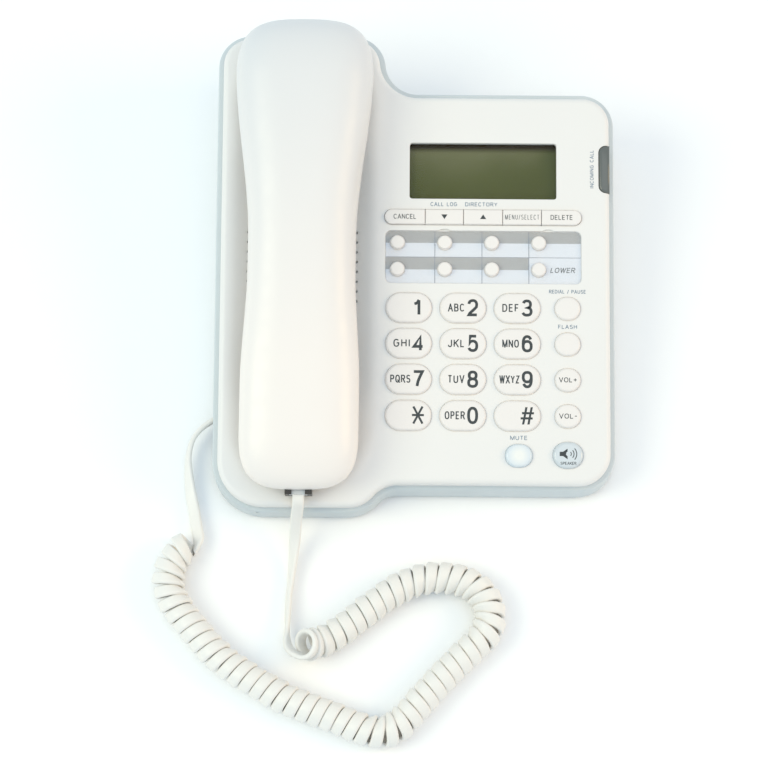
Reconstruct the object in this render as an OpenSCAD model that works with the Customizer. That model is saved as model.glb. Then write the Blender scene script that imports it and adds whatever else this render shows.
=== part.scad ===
// Corded desk telephone: wedge base with keypad and display, handset in its cradle, curly cord.
// Millimetres. X to the right, Y to the back, Z up, origin under the middle of the base.

/* [Face] */
// Tilt of the upper face
tilt = 10; // [10:0.5:12]
// Height of the middle of the face
face_z = 36.9; // [36:0.5:42]
// Set-back of the middle of the face
face_y = -5.7; // [-7:0.1:-4]
// Depth of the skirt of the upper shell
skirt = 8.5; // [8.3:0.1:9.5]
// Wall of the upper shell
wall = 2.4; // [2:0.1:2.6]
// Roof of the upper shell
roof = 2.5; // [2.3:0.1:2.6]
// Radius of the rounded upper edge
edge_r = 2.4; // [1.5:0.1:3]

/* [Casing] */
// Half width of the upper shell
side_x = 82.8; // [81:0.2:84]
// Step from the upper shell out to the lower casing
rim = 2.6; // [1.6:0.1:3.2]
// Wall and floor of the lower casing
casing_wall = 2.4; // [2:0.1:2.6]
// Height of the feet
foot_h = 1.5; // [1:0.1:2.5]

/* [Cradle] */
// Radius of the hollow under the handset
dish_r = 60; // [58:1:64]
// Depth of the hollow
dish_depth = 8; // [7:0.2:8.4]
// Centre line of the handset
hand_x = -48.1; // [-48.5:0.1:-47]

/* [Handset] */
// Width of the ear end
ear_w = 58.2; // [56:0.2:60]
// Width of the grip
grip_w = 45.4; // [42:0.2:47]
// Width of the mouth end
mouth_w = 49.8; // [47:0.2:52]
// Height of the back of the ear end above the face
ear_top = 30; // [27:0.5:33]
// Height of the back of the mouth end above the face
mouth_top = 24; // [22:0.5:27]
// Height of the split between the two shells
split_h = 12; // [11.8:0.1:13]
// Wall of the handset shells
hand_wall = 2.2; // [1.8:0.1:2.4]

/* [Keys] */
// Width of a dial key
dial_w = 20; // [18:0.2:20.4]
// Height of a dial key
dial_h = 13; // [11:0.2:13.2]
// Height of the key caps above the face
proud = 1.2; // [1:0.1:1.6]
// Gap around each key cap
key_gap = 0.3; // [0.25:0.05:0.4]

/* [Cord] */
// Outer diameter of the curled cord
curl_d = 13; // [11:0.5:13]
// Diameter that stands for the straight cord
lead_d = 3.6; // [3:0.1:3.8]

/* [Hidden] */
$fn = 32;

// Edges of the upper shell on the face, from the middle of the face.
col_top = 104.4;
col_front = -97.7;
pad_top = 78.9;
pad_front = -88;
// Radii of its corners and of the two S bends.
r_top = 11.4;
r_front_left = 19.4;
r_front_right = 13.4;
r_bend_top = 16.6;
r_bend_front = 13.8;
// Centres of the column's two inner corners.
col_top_x = -27;
col_front_x = -27.8;
arc_steps = 8;
// How far the casing's rim sits behind the upper shell.
rim_shift = 0.9;
lip = 5.2;
lip_t = 2.2;

// Display, soft keys, memory panel and the other key rows on the face.
lcd_x = [-2.5, 60.2];
lcd_y = [34.3, 58.7];
nav_x = [-13, 4.2, 20.5, 37.2, 53.7, 70.7];
nav_y = 26.4;
nav_h = 7.6;
memory_x = [-12.7, 70.7];
memory_y = [-2.4, 20.4];
memory_cols = [-7.5, 12.6, 32.6, 52.6];
memory_rows = [15.2, 3.7];
memory_d = 5.9;
tray = 1.2;
dial_cols = [-2.6, 20.4, 43.4];
dial_rows = [-13.1, -28.4, -43.7, -59.1];
side_key_x = 64.7;
side_key = [11.2, 10];
mute_pos = [44, -75.9];
mute_size = [11.8, 10];
speaker_pos = [64.7, -75.6];
speaker_size = [12.7, 11.2];
light_x = [78.3, 83.2];
light_y = [37.3, 57.9];

// Key stack under the face.
cap_low = -3.7;
flange_low = -4.2;
flange_high = -2.8;
flange_out = 0.8;
mat_top = -5.8;
mat_low = -7.2;
board_low = -8.8;
board_x = [-13.4, 72.8];
board_y = [-82, 64];

// Cradle and what works in it.
dish_y = [-62, 74];
speaker_y = 5;
grille_pitch = 4.25;
grille_d = 1.5;
plunger_y = 58;
plunger = [10, 5];
tab_y = 36;
tab = [9, 3, 8];

// Casing, in base coordinates.
posts = [[-75, 85], [76, 61.3], [76.5, -64], [-73, -87.4], [-2, 66]];
standoffs = [[-8, -70], [66, -46], [-8, 10], [66, 10]];
feet = [[-66, -80], [66, -74], [-66, 86], [76, 40]];
jack_y = -60.5;
jack_z = 8;
line_x = -50;
line_z = 16;
cell_x = [12.5, 27.5, 42.5, 57.5];
bay_x = [4.4, 65.6];
bay_y = [20, 74];
bay_z = 19;
door_y = [21.5, 76.6];
cell_d = 14.2;
keyhole_x = -10;
keyhole_y = [-50.8, 50.8];

// Handset stations along the face.
hand_y = [-92, 108.4];
// The handset's jack reaches out of its mouth end.
jack_out = -94.7;
cap_y = [-66, 80];
grip_low = 8;
cup_low = -6.4;
rings_n = 26;
ring_pts = 20;

// Cord routes on the desk.
base_route = [[-85.6, -60.5, 8], [-92, -65.5, 7], [-96, -71.5, 6], [-96.5, -79.5, 5],
    [-95, -90.5, 4], [-92, -101.5, 3.5], [-90.5, -110.5, 4.5], [-91.5, -116, 6],
    [-95.5, -118, 6.5]];
curl_route = [[-95.5, -118], [-101.5, -119], [-104.5, -124], [-104.5, -131], [-102, -138],
    [-97.5, -144.5], [-92.5, -150.5], [-86.5, -157.5], [-79.5, -164.5], [-71, -170.5],
    [-62.5, -175.5], [-52.5, -181], [-42.5, -185], [-32.5, -188.5], [-24, -192], [-16.5, -194.5],
    [-9.5, -194], [-4, -190], [1, -184], [8, -176], [15.5, -168], [23.5, -160], [30, -153.5],
    [32.5, -146.5], [31, -139], [25.5, -132.5], [17.5, -129.5], [9, -129], [1, -130.5],
    [-6.5, -134], [-14.5, -139.5], [-22.5, -146], [-30, -152], [-37, -156, 7], [-43, -157.8, 10.5]];
hand_route = [[-48.7, -106, 19], [-49.6, -113, 11], [-50.5, -122, 5], [-51, -131, 3],
    [-51.2, -140, 3.6], [-51.6, -147, 5], [-51.3, -152.5, 7.5], [-48.5, -156.5, 9.5],
    [-43, -157.8, 10.5]];

// ---- shared shapes ----

function arc(c, r, a, b) =
    [for (i = [0 : arc_steps]) let (t = a + (b - a) * i / arc_steps)
        [c[0] + r * cos(t), c[1] + r * sin(t)]];

// Outline of the upper shell set in by d; a negative d widens it.
function outline(d) =
    let (c1 = [-side_x + r_front_left, col_front + r_front_left],
        c2 = [col_front_x, col_front + r_bend_front],
        rise = 2 * r_bend_front - (pad_front - col_front),
        run = sqrt(4 * r_bend_front * r_bend_front - rise * rise),
        c3 = [col_front_x + run, pad_front - r_bend_front],
        turn = atan2(rise, run),
        c4 = [side_x - r_front_right, pad_front + r_front_right],
        c5 = [side_x - r_top, pad_top - r_top],
        c7 = [col_top_x, col_top - r_top],
        c6y = pad_top + r_bend_top,
        reach = r_top + r_bend_top,
        c6 = [c7[0] + sqrt(reach * reach - (c6y - c7[1]) * (c6y - c7[1])), c6y],
        lean = atan2(c6[1] - c7[1], c6[0] - c7[0]),
        c8 = [-side_x + r_top, col_top - r_top])
    concat(arc(c1, r_front_left - d, 180, 270), arc(c2, r_bend_front - d, 270, 360 - turn),
        arc(c3, r_bend_front + d, 180 - turn, 90), arc(c4, r_front_right - d, 270, 360),
        arc(c5, r_top - d, 0, 90), arc(c6, r_bend_top + d, 270, 180 + lean),
        arc(c7, r_top - d, lean, 90), arc(c8, r_top - d, 90, 180));

// The same outline for the upright walls of the casing, set in by d from its rim.
function casing_outline(d) =
    [for (p = outline(d - rim))
        [p[0], face_y + skirt * sin(tilt) + (p[1] + rim_shift) * cos(tilt)]];

module on_face() translate([0, face_y, face_z]) rotate([tilt, 0, 0]) children();

module span_box(x, y, z)
    translate([x[0], y[0], z[0]]) cube([x[1] - x[0], y[1] - y[0], z[1] - z[0]]);

module slab(d, low, high) translate([0, 0, low]) linear_extrude(high - low) polygon(outline(d));

module pill(size, low, high) translate([0, 0, low]) linear_extrude(high - low) {
    square([size[0] - size[1], size[1]], center = true);
    for (s = [-1, 1]) translate([s * (size[0] - size[1]) / 2, 0]) circle(d = size[1]);
}

module round_plate(x, y, r, low, high) translate([0, 0, low]) linear_extrude(high - low) {
    translate([x[0] + r, y[0]]) square([x[1] - x[0] - 2 * r, y[1] - y[0]]);
    translate([x[0], y[0] + r]) square([x[1] - x[0], y[1] - y[0] - 2 * r]);
    for (a = [x[0] + r, x[1] - r]) for (b = [y[0] + r, y[1] - r]) translate([a, b]) circle(r = r);
}

// Everything above a plane parallel to the face at height h.
module above_face(h) on_face() span_box([-120, 120], [-140, 140], [h, h + 90]);

// ---- upper shell ----

module dish(grow) for (y = dish_y) {
    translate([hand_x, y, dish_r - dish_depth]) sphere(r = dish_r + grow, $fn = 96);
    translate([hand_x, dish_y[0], dish_r - dish_depth]) rotate([-90, 0, 0])
        cylinder(r = dish_r + grow, h = dish_y[1] - dish_y[0], $fn = 96);
}

module shell_body() {
    slab(0, -skirt, -edge_r);
    for (i = [0 : 2])
        slab(edge_r * (1 - cos(30 * i + 15)), edge_r * (sin(30 * i) - 1), edge_r * (sin(30 * i + 30) - 1));
}

module nav_slot() round_plate([nav_x[0] - key_gap, nav_x[5] + key_gap],
    [nav_y - nav_h / 2 - key_gap, nav_y + nav_h / 2 + key_gap], nav_h / 2, -roof - 1, 1);

module key_openings() {
    gap = [2 * key_gap, 2 * key_gap];
    for (x = dial_cols) for (y = dial_rows) translate([x, y, 0])
        pill([dial_w, dial_h] + gap, -roof - 1, 1);
    for (y = dial_rows) translate([side_key_x, y, 0]) pill(side_key + gap, -roof - 1, 1);
    translate(mute_pos) pill(mute_size + gap, -roof - 1, 1);
    translate(speaker_pos) pill(speaker_size + gap, -roof - 1, 1);
    for (x = memory_cols) for (y = memory_rows) translate([x, y, -roof - 1])
        cylinder(d = memory_d + 2 * key_gap, h = roof + 2);
    nav_slot();
}

module grille() for (i = [0 : 11]) for (j = [0 : 7])
    translate([hand_x + (i - 5.5) * grille_pitch * 0.99, speaker_y + (j - 3.5) * grille_pitch, -14])
        cylinder(d = grille_d, h = 16, $fn = 16);

module base_top_shell() color("whitesmoke") {
    difference() {
        union() {
            on_face() {
                difference() {
                    shell_body();
                    slab(wall, -skirt - 1, -roof);
                }
                intersection() {
                    dish(wall);
                    slab(wall / 2, -14, -1);
                }
            }
            difference() {
                for (p = posts) translate([p[0], p[1], casing_wall + foot_h]) cylinder(d = 7, h = 60);
                above_face(-roof / 2);
            }
        }
        on_face() {
            dish(0);
            key_openings();
            grille();
            round_plate(lcd_x, lcd_y, 2, -roof - 1, 1);
            round_plate(memory_x, memory_y, 2.5, -tray, 1);
            span_box([light_x[0], 90], light_y, [-6, 2]);
            translate([hand_x, plunger_y, 0]) span_box([-plunger[0] / 2 - key_gap, plunger[0] / 2 + key_gap],
                [-plunger[1] / 2 - key_gap, plunger[1] / 2 + key_gap], [-20, 0]);
            translate([hand_x, tab_y, 0]) span_box([-tab[0] / 2 - key_gap, tab[0] / 2 + key_gap],
                [-tab[1] / 2 - key_gap, tab[1] / 2 + key_gap], [-20, 0]);
        }
        for (p = posts) translate([p[0], p[1], 0]) cylinder(d = 2.6, h = foot_h + casing_wall + 11);
    }
}

// ---- lower casing ----

module casing_walls(d, low, h) difference() {
    translate([0, 0, low]) linear_extrude(80) polygon(casing_outline(d));
    above_face(h);
}

module keyhole() {
    cylinder(d = 9, h = 6);
    translate([-2.25, 0, 0]) cube([4.5, 9, 6]);
    translate([0, 9, 0]) cylinder(d = 4.5, h = 6);
}

module base_bottom_shell() color("lightsteelblue") {
    floor_top = foot_h + casing_wall;
    difference() {
        union() {
            difference() {
                casing_walls(0, foot_h, -skirt);
                casing_walls(casing_wall, floor_top, -skirt - lip_t);
                translate([0, 0, floor_top]) linear_extrude(80) polygon(casing_outline(lip));
            }
            difference() {
                span_box([bay_x[0] - 1.6, bay_x[1] + 1.6], [bay_y[0] - 1.6, bay_y[1] + 1],
                    [floor_top, bay_z + 1.6]);
                span_box(bay_x, bay_y, [floor_top - 1, bay_z]);
            }
            difference() {
                for (p = standoffs) translate([p[0], p[1], floor_top - 1]) cylinder(d = 5, h = 60);
                above_face(board_low);
            }
        }
        span_box([bay_x[0] + 1.6, bay_x[1] - 1.6], [door_y[0] - 0.3, 90], [0, floor_top]);
        span_box(bay_x, [door_y[0] - 0.3, 90], [foot_h + 0.8, floor_top]);
        for (p = posts) translate([p[0], p[1], 0]) {
            cylinder(d = 3, h = 10);
            cylinder(d = 6, h = foot_h + 1.4);
        }
        for (y = keyhole_y) translate([keyhole_x, y, 0]) keyhole();
        span_box([-90, -82], [jack_y - 4.3, jack_y + 4.3], [jack_z - 3.7, jack_z + 3.7]);
        span_box([line_x - 6.7, line_x + 6.7], [98, 104], [floor_top, line_z + 6.2]);
        translate([-66, -96, 9]) rotate([90, 0, 0]) cylinder(d = 1.4, h = 10);
    }
}

module rubber_feet() color("dimgray") for (p = feet) translate([p[0], p[1], 0]) cylinder(d = 12, h = foot_h);

module case_screws() color("silver") for (p = posts) translate([p[0], p[1], foot_h]) difference() {
    union() {
        cylinder(d = 5.4, h = 1.4);
        cylinder(d = 2.4, h = 12);
    }
    translate([-0.4, -1.6, -1]) cube([0.8, 3.2, 1.7]);
    translate([-1.6, -0.4, -1]) cube([3.2, 0.8, 1.7]);
}

module battery_door() color("lightsteelblue") {
    span_box([bay_x[0] + 2, bay_x[1] - 2], door_y, [foot_h + 0.1, foot_h + 2]);
    span_box([bay_x[0] + 0.4, bay_x[1] - 0.4], door_y, [foot_h + 1.1, foot_h + 1.9]);
}

module batteries() color("goldenrod") for (x = cell_x)
    translate([x, bay_y[0] + 1, foot_h + casing_wall + 0.3 + cell_d / 2])
    rotate([-90, 0, 0]) {
        cylinder(d = cell_d, h = 49);
        cylinder(d = 5.5, h = 50.5);
    }

module line_jack() color("dimgray") difference() {
    span_box([line_x - 6.5, line_x + 6.5], [86, 101.4], [foot_h + casing_wall, line_z + 6]);
    span_box([line_x - 4.9, line_x + 4.9], [88, 102], [line_z - 4, line_z + 4]);
}

module base_handset_jack() color("dimgray") difference() {
    span_box([-82.9, -69.5], [jack_y - 5.6, jack_y + 5.6], [jack_z - 4.1, jack_z + 5]);
    span_box([-83, -71], [jack_y - 4.1, jack_y + 4.1], [jack_z - 3.5, jack_z + 3.5]);
}

// ---- inside the base ----

module main_board() color("darkgreen") on_face() {
    span_box(board_x, board_y, [board_low, mat_low]);
    span_box([10, 26], [-30, -14], [board_low - 2, board_low]);
    span_box([34, 44], [-58, -46], [board_low - 1.6, board_low]);
    span_box([-8, 6], [46, 54], [board_low - 3, board_low]);
    for (x = [32 : 8 : 56]) translate([x, 8, board_low - 5]) cylinder(d = 5, h = 5);
}

module dome(x, y, w, h) translate([x, y, 0]) pill([w - 4, h - 4], mat_low, mat_top + 0.1);

module key_mat() color("gray") on_face() {
    span_box([-13.2, 72.4], [-81.5, 31.2], [mat_low, mat_top - 0.4]);
    for (x = dial_cols) for (y = dial_rows) dome(x, y, dial_w, dial_h);
    for (y = dial_rows) dome(side_key_x, y, side_key[0], side_key[1]);
    dome(mute_pos[0], mute_pos[1], mute_size[0], mute_size[1]);
    dome(speaker_pos[0], speaker_pos[1], speaker_size[0], speaker_size[1]);
    for (x = memory_cols) for (y = memory_rows) translate([x, y, mat_low]) cylinder(d = 3, h = 1.5);
    for (i = [0 : 4]) dome((nav_x[i] + nav_x[i + 1]) / 2, nav_y, 12, nav_h);
}

module lcd_module() color("olivedrab") on_face() difference() {
    span_box([-6, 64], [32, 61.5], [mat_low, -roof]);
    round_plate(lcd_x, lcd_y, 2, -roof - 0.6, -roof + 1);
}

module lcd_window() color("darkseagreen") on_face() round_plate(lcd_x, lcd_y, 2, -roof, -0.7);

module memory_holes(low, high) for (x = memory_cols) for (y = memory_rows)
    translate([x, y, low]) cylinder(d = memory_d + 1, h = high - low);

module memory_card() color("lavender") on_face() difference() {
    round_plate(memory_x, memory_y, 2.5, -tray, -1);
    memory_holes(-2, 0);
}

module memory_card_cover() color("white") on_face() difference() {
    round_plate(memory_x, memory_y, 2.5, -1, -0.1);
    memory_holes(-2, 1);
    for (x = [12.8, 56]) translate([x, memory_y[1], -0.6]) cube([5, 1.6, 2], center = true);
}

module loudspeaker() color("darkslategray") on_face() translate([hand_x, speaker_y, 0]) {
    translate([0, 0, -13]) difference() {
        cylinder(d = 52, h = 2.4);
        translate([0, 0, 0.8]) cylinder(d = 46, h = 2);
    }
    translate([0, 0, -17]) cylinder(d = 30, h = 4);
    translate([0, 0, -22]) cylinder(d = 24, h = 5);
}

module hook_plunger() color("whitesmoke") on_face() translate([hand_x, plunger_y, 0]) {
    span_box([-plunger[0] / 2, plunger[0] / 2], [-plunger[1] / 2, plunger[1] / 2], [-16, -6.9]);
    span_box([-6.5, 6.5], [-4, 4], [-16, -15]);
}

module hang_tab() color("whitesmoke") on_face() translate([hand_x, tab_y, 0]) {
    span_box([-tab[0] / 2, tab[0] / 2], [-tab[1] / 2, tab[1] / 2], [-15, -15 + tab[2]]);
    span_box([-tab[0] / 2 - 1, tab[0] / 2 + 1], [-tab[1] / 2, tab[1] / 2], [-20, -15]);
}

module call_light_lens() color("dimgray") on_face()
    span_box(light_x, light_y, [-6, 0.3]);

// ---- keys ----

module pill_key(x, y, size, tone) color(tone) on_face() translate([x, y, 0]) {
    pill(size, cap_low, proud - 0.4);
    pill(size - [0.8, 0.8], proud - 0.4, proud);
    pill(size + [2 * flange_out, 2 * flange_out], flange_low, flange_high);
}

module dial_key(i) pill_key(dial_cols[i % 3], dial_rows[floor(i / 3)], [dial_w, dial_h], "ivory");

module side_column_key(i) pill_key(side_key_x, dial_rows[i], side_key, "ivory");

module memory_key(i) color("ivory") on_face()
    translate([memory_cols[i % 4], memory_rows[floor(i / 4)], 0]) {
        translate([0, 0, cap_low]) cylinder(d = memory_d, h = proud - cap_low);
        translate([0, 0, flange_low]) cylinder(d = memory_d + 2 * flange_out, h = flange_high - flange_low);
    }

// Soft keys stand side by side in one slot, and the two outer ones have a round end.
module nav_shape(i, d) {
    x0 = nav_x[i] + (i == 0 ? nav_h / 2 : key_gap);
    x1 = nav_x[i + 1] - (i == 4 ? nav_h / 2 : key_gap);
    translate([x0 + (i == 0 ? 0 : d), nav_y - nav_h / 2 + d])
        square([x1 - x0 - (i == 0 || i == 4 ? d : 2 * d), nav_h - 2 * d]);
    if (i == 0) translate([x0, nav_y]) circle(d = nav_h - 2 * d);
    if (i == 4) translate([x1, nav_y]) circle(d = nav_h - 2 * d);
}

module nav_key(i) color("ivory") on_face() {
    translate([0, 0, cap_low]) linear_extrude(proud - 0.4 - cap_low) nav_shape(i, 0);
    translate([0, 0, proud - 0.4]) linear_extrude(0.4) nav_shape(i, 0.4);
    span_box([nav_x[i] + key_gap, nav_x[i + 1] - key_gap],
        [nav_y - nav_h / 2 - flange_out, nav_y + nav_h / 2 + flange_out], [flange_low, flange_high]);
}

// ---- handset ----

function ease(a, b, y) = let (t = max(0, min(1, (y - a) / (b - a)))) t * t * (3 - 2 * t);

// Half width, back height and front height along the handset, set in by d.
function half_w(y) = grip_w / 2 + (ear_w - grip_w) / 2 * ease(14, 88, y)
    + (mouth_w - grip_w) / 2 * ease(0, -48, y);
function back_h(y) = mouth_top + (ear_top - mouth_top) * ease(-110, 90, y);
function front_h(y) = grip_low + (cup_low - grip_low) * (ease(44, 62, y) + ease(-42, -60, y));
function end_cap(y, d, p) =
    let (u = y > cap_y[1] ? (y - cap_y[1]) / (hand_y[1] - d - cap_y[1])
        : y < cap_y[0] ? (cap_y[0] - y) / (cap_y[0] - hand_y[0] - d) : 0)
    max(0.16, pow(1 - pow(min(u, 1), p), 1 / p));

// One ring of a half section; side is 1 for the back and -1 for the front.
function half_ring(y, d, side, sink) =
    let (w = (half_w(y) - d) * end_cap(y, d, 3.2),
        deep = side > 0 ? (back_h(y) - d - split_h) * end_cap(y, d, 2.4)
            : (split_h - front_h(y) - d) * end_cap(y, d, 1.7))
    [for (i = [0 : ring_pts]) let (a = 180 * i / ring_pts, c = cos(a), s = sin(a))
        [hand_x + w * sign(c) * pow(abs(c), 0.77), y,
            split_h + side * deep * pow(s, 0.77) - (i == 0 || i == ring_pts ? side * sink : 0)]];

module half_loft(d, side, sink) {
    y0 = hand_y[0] + d;
    y1 = hand_y[1] - d;
    n = ring_pts + 1;
    points = [for (k = [0 : rings_n]) each half_ring(
        (y0 + y1) / 2 - (y1 - y0) / 2 * cos(180 * k / rings_n), d, side, sink)];
    sides = [for (k = [0 : rings_n - 1]) for (i = [0 : n - 1]) let (j = (i + 1) % n)
        each [[k * n + i, k * n + j, (k + 1) * n + j], [k * n + i, (k + 1) * n + j, (k + 1) * n + i]]];
    ends = concat([for (i = [1 : n - 2]) [0, i + 1, i]],
        [for (i = [1 : n - 2]) [rings_n * n, rings_n * n + i, rings_n * n + i + 1]]);
    faces = concat(sides, ends);
    polyhedron(points, side > 0 ? faces : [for (f = faces) [f[2], f[1], f[0]]]);
}

module hand_shell(side) difference() {
    half_loft(0, side, 0);
    half_loft(hand_wall, side, 1);
}

module plug_way(grow) translate([hand_x, 0, 0])
    span_box([-3.85 - grow, 3.85 + grow], [-93.8 - 10 * grow, -81.8 + grow], [4.35 - grow, 10.85 + grow]);

module handset_back_shell() color("ivory") on_face() hand_shell(1);

module handset_front_shell() color("ivory") on_face() difference() {
    hand_shell(-1);
    translate([hand_x, 0, 0]) span_box([-5.6, 5.6], [-100, -78], [3.4, split_h + 1]);
    for (k = [0 : 6]) let (r = k == 6 ? 0 : 6)
        translate([hand_x + r * cos(60 * k), 74 + r * sin(60 * k), -10])
        cylinder(d = 2, h = 10, $fn = 16);
    for (x = [-3, 0, 3]) translate([hand_x + x, -70, -10]) cylinder(d = 1.4, h = 10, $fn = 16);
}

module handset_receiver() color("dimgray") on_face() translate([hand_x, 74, 0]) {
    translate([0, 0, -1.5]) cylinder(d = 30, h = 4);
    translate([0, 0, 2.5]) cylinder(d = 20, h = 5);
}

module handset_microphone() color("dimgray") on_face() translate([hand_x, -69, -2.4]) cylinder(d = 9.7, h = 5);

module handset_jack() color("dimgray") on_face() difference() {
    translate([hand_x, 0, 0]) span_box([-5.6, 5.6], [jack_out, -79.4], [3.4, split_h - 0.2]);
    plug_way(0.2);
}

module handset_weight() color("slategray") on_face()
    translate([hand_x, 0, 0]) span_box([-11, 11], [-32, 32], [10.8, 16]);

// ---- cord ----

module base_plug() color("gainsboro") {
    span_box([-85.4, -73.2], [jack_y - 3.85, jack_y + 3.85], [jack_z - 3.25, jack_z + 3.25]);
    span_box([-84, -74], [jack_y - 1.5, jack_y + 1.5], [jack_z + 3.25, jack_z + 3.45]);
}

module handset_plug() color("gainsboro") on_face() plug_way(0);

function unit(v) = v / norm(v);

// Smooth route through the points, with m steps between each pair.
function smooth(p, m) = let (n = len(p)) concat([for (i = [0 : n - 2]) for (k = [0 : m - 1])
    let (a = p[max(i - 1, 0)], b = p[i], c = p[i + 1], e = p[min(i + 2, n - 1)], t = k / m)
        b + (c - a) * t / 2 + (2 * a - 5 * b + 4 * c - e) * t * t / 2
            + (3 * b - a - 3 * c + e) * t * t * t / 2], [p[n - 1]]);

module tube(path, d, sides) {
    n = len(path);
    points = [for (i = [0 : n - 1])
        let (along = unit(path[min(i + 1, n - 1)] - path[max(i - 1, 0)]),
            across = unit(cross([0, 0, 1], along)), up = cross(along, across))
        for (k = [0 : sides - 1]) path[i] + d / 2 * (cos(360 * k / sides) * across + sin(360 * k / sides) * up)];
    walls = [for (i = [0 : n - 2]) for (k = [0 : sides - 1]) let (j = (k + 1) % sides)
        each [[i * sides + k, i * sides + j, (i + 1) * sides + j],
            [i * sides + k, (i + 1) * sides + j, (i + 1) * sides + k]]];
    polyhedron(points, concat(walls, [[for (k = [sides - 1 : -1 : 0]) k]],
        [[for (k = [0 : sides - 1]) (n - 1) * sides + k]]));
}

function from_face(x, y, h) =
    [x, face_y + y * cos(tilt) - h * sin(tilt), face_z + y * sin(tilt) + h * cos(tilt)];

module cord_base_lead() color("ivory") tube(smooth(base_route, 3), lead_d, 10);
module cord_curl() color("ivory")
    tube(smooth([for (p = curl_route) [p[0], p[1], len(p) > 2 ? p[2] : curl_d / 2]], 2), curl_d, 12);
module cord_handset_lead() color("ivory")
    tube(smooth(concat([from_face(hand_x, -95.1, 7.6), from_face(hand_x, -96.5, 7.5),
        from_face(hand_x - 0.1, -98.2, 6.8)], hand_route), 3), lead_d, 10);

// ---- nodes ----

base_bottom_shell();
base_top_shell();
main_board();
key_mat();
lcd_module();
lcd_window();
memory_card();
memory_card_cover();
loudspeaker();
hook_plunger();
base_handset_jack();
line_jack();
call_light_lens();
battery_door();
batteries();
rubber_feet();
case_screws();
hang_tab();
handset_back_shell();
handset_front_shell();
handset_receiver();
handset_microphone();
handset_jack();
handset_weight();
base_plug();
cord_base_lead();
cord_curl();
cord_handset_lead();
handset_plug();
dial_key(0);  // key_1
dial_key(1);  // key_2
dial_key(2);  // key_3
dial_key(3);  // key_4
dial_key(4);  // key_5
dial_key(5);  // key_6
dial_key(6);  // key_7
dial_key(7);  // key_8
dial_key(8);  // key_9
dial_key(9);  // key_star
dial_key(10);  // key_0
dial_key(11);  // key_pound
side_column_key(0);  // key_redial
side_column_key(1);  // key_flash
side_column_key(2);  // key_volume_up
side_column_key(3);  // key_volume_down
pill_key(mute_pos[0], mute_pos[1], mute_size, "powderblue");  // key_mute
pill_key(speaker_pos[0], speaker_pos[1], speaker_size, "powderblue");  // key_speaker
nav_key(0);  // key_cancel
nav_key(1);  // key_down
nav_key(2);  // key_up
nav_key(3);  // key_menu
nav_key(4);  // key_delete
memory_key(0);  // key_memory_1
memory_key(1);  // key_memory_2
memory_key(2);  // key_memory_3
memory_key(3);  // key_memory_4
memory_key(4);  // key_memory_5
memory_key(5);  // key_memory_6
memory_key(6);  // key_memory_7
memory_key(7);  // key_lower
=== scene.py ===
import math

import bmesh
import bpy
import numpy as np
from mathutils import Matrix, Vector
from mathutils.geometry import delaunay_2d_cdt


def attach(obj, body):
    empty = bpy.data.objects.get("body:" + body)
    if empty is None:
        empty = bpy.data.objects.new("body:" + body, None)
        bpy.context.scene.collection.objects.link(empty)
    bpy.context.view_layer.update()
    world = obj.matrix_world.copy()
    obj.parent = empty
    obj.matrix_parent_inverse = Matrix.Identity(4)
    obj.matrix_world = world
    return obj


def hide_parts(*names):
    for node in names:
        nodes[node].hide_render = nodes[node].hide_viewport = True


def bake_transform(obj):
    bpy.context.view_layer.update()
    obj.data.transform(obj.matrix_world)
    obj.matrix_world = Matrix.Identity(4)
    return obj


# A corded desk telephone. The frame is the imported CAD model; this script adds the looks.
# Lengths are in millimetres up to the moment a mesh is made, then in metres. The camera, the
# lights and the places in materials are in metres throughout.

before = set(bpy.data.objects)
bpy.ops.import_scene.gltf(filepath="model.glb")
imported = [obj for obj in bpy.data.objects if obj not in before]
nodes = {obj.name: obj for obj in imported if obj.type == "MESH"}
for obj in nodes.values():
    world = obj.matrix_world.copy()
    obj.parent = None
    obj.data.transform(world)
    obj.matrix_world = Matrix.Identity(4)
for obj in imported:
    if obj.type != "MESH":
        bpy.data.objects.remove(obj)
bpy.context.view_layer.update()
scene = bpy.context.scene
MM = 0.001

# ---------------------------------------------------------------- the tilted face

TILT = math.radians(10)
FACE_Y, FACE_Z = -5.7, 36.9
SIN, COS = math.sin(TILT), math.cos(TILT)


def from_face(p):
    """Points (x, y, height) on the tilted face, as points of the row frame in mm."""
    p = np.atleast_2d(np.asarray(p, float))
    return np.stack([p[:, 0], FACE_Y + p[:, 1] * COS - p[:, 2] * SIN,
                     FACE_Z + p[:, 1] * SIN + p[:, 2] * COS], 1)


def face_height(y):
    """How high the face is above the desk, at a place y of the row frame."""
    return FACE_Z + math.tan(TILT) * (y - FACE_Y)


# ---------------------------------------------------------------- camera

CAMERA_AT = Vector((-0.01285, -0.3648, 0.978))
CAMERA_TO = Vector((-0.01285, -0.0508, 0.0289))
ROLL = math.radians(0.41)
SENSOR_W, FOCAL = 36, 111.08
NEAR, FAR = 0.05, 20

forward = (CAMERA_TO - CAMERA_AT).normalized()
side0 = Vector((1, 0, 0))
up0 = side0.cross(forward)
right = math.cos(ROLL) * side0 + math.sin(ROLL) * up0
up = -math.sin(ROLL) * side0 + math.cos(ROLL) * up0
camera_data = bpy.data.cameras.new("camera")
camera_data.sensor_width = SENSOR_W
camera_data.lens = FOCAL
camera_data.clip_start, camera_data.clip_end = NEAR, FAR
camera = bpy.data.objects.new("camera", camera_data)
camera.matrix_world = Matrix(((right.x, up.x, -forward.x, CAMERA_AT.x),
                              (right.y, up.y, -forward.y, CAMERA_AT.y),
                              (right.z, up.z, -forward.z, CAMERA_AT.z), (0, 0, 0, 1)))
scene.collection.objects.link(camera)
scene.camera = camera

# ---------------------------------------------------------------- materials


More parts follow.
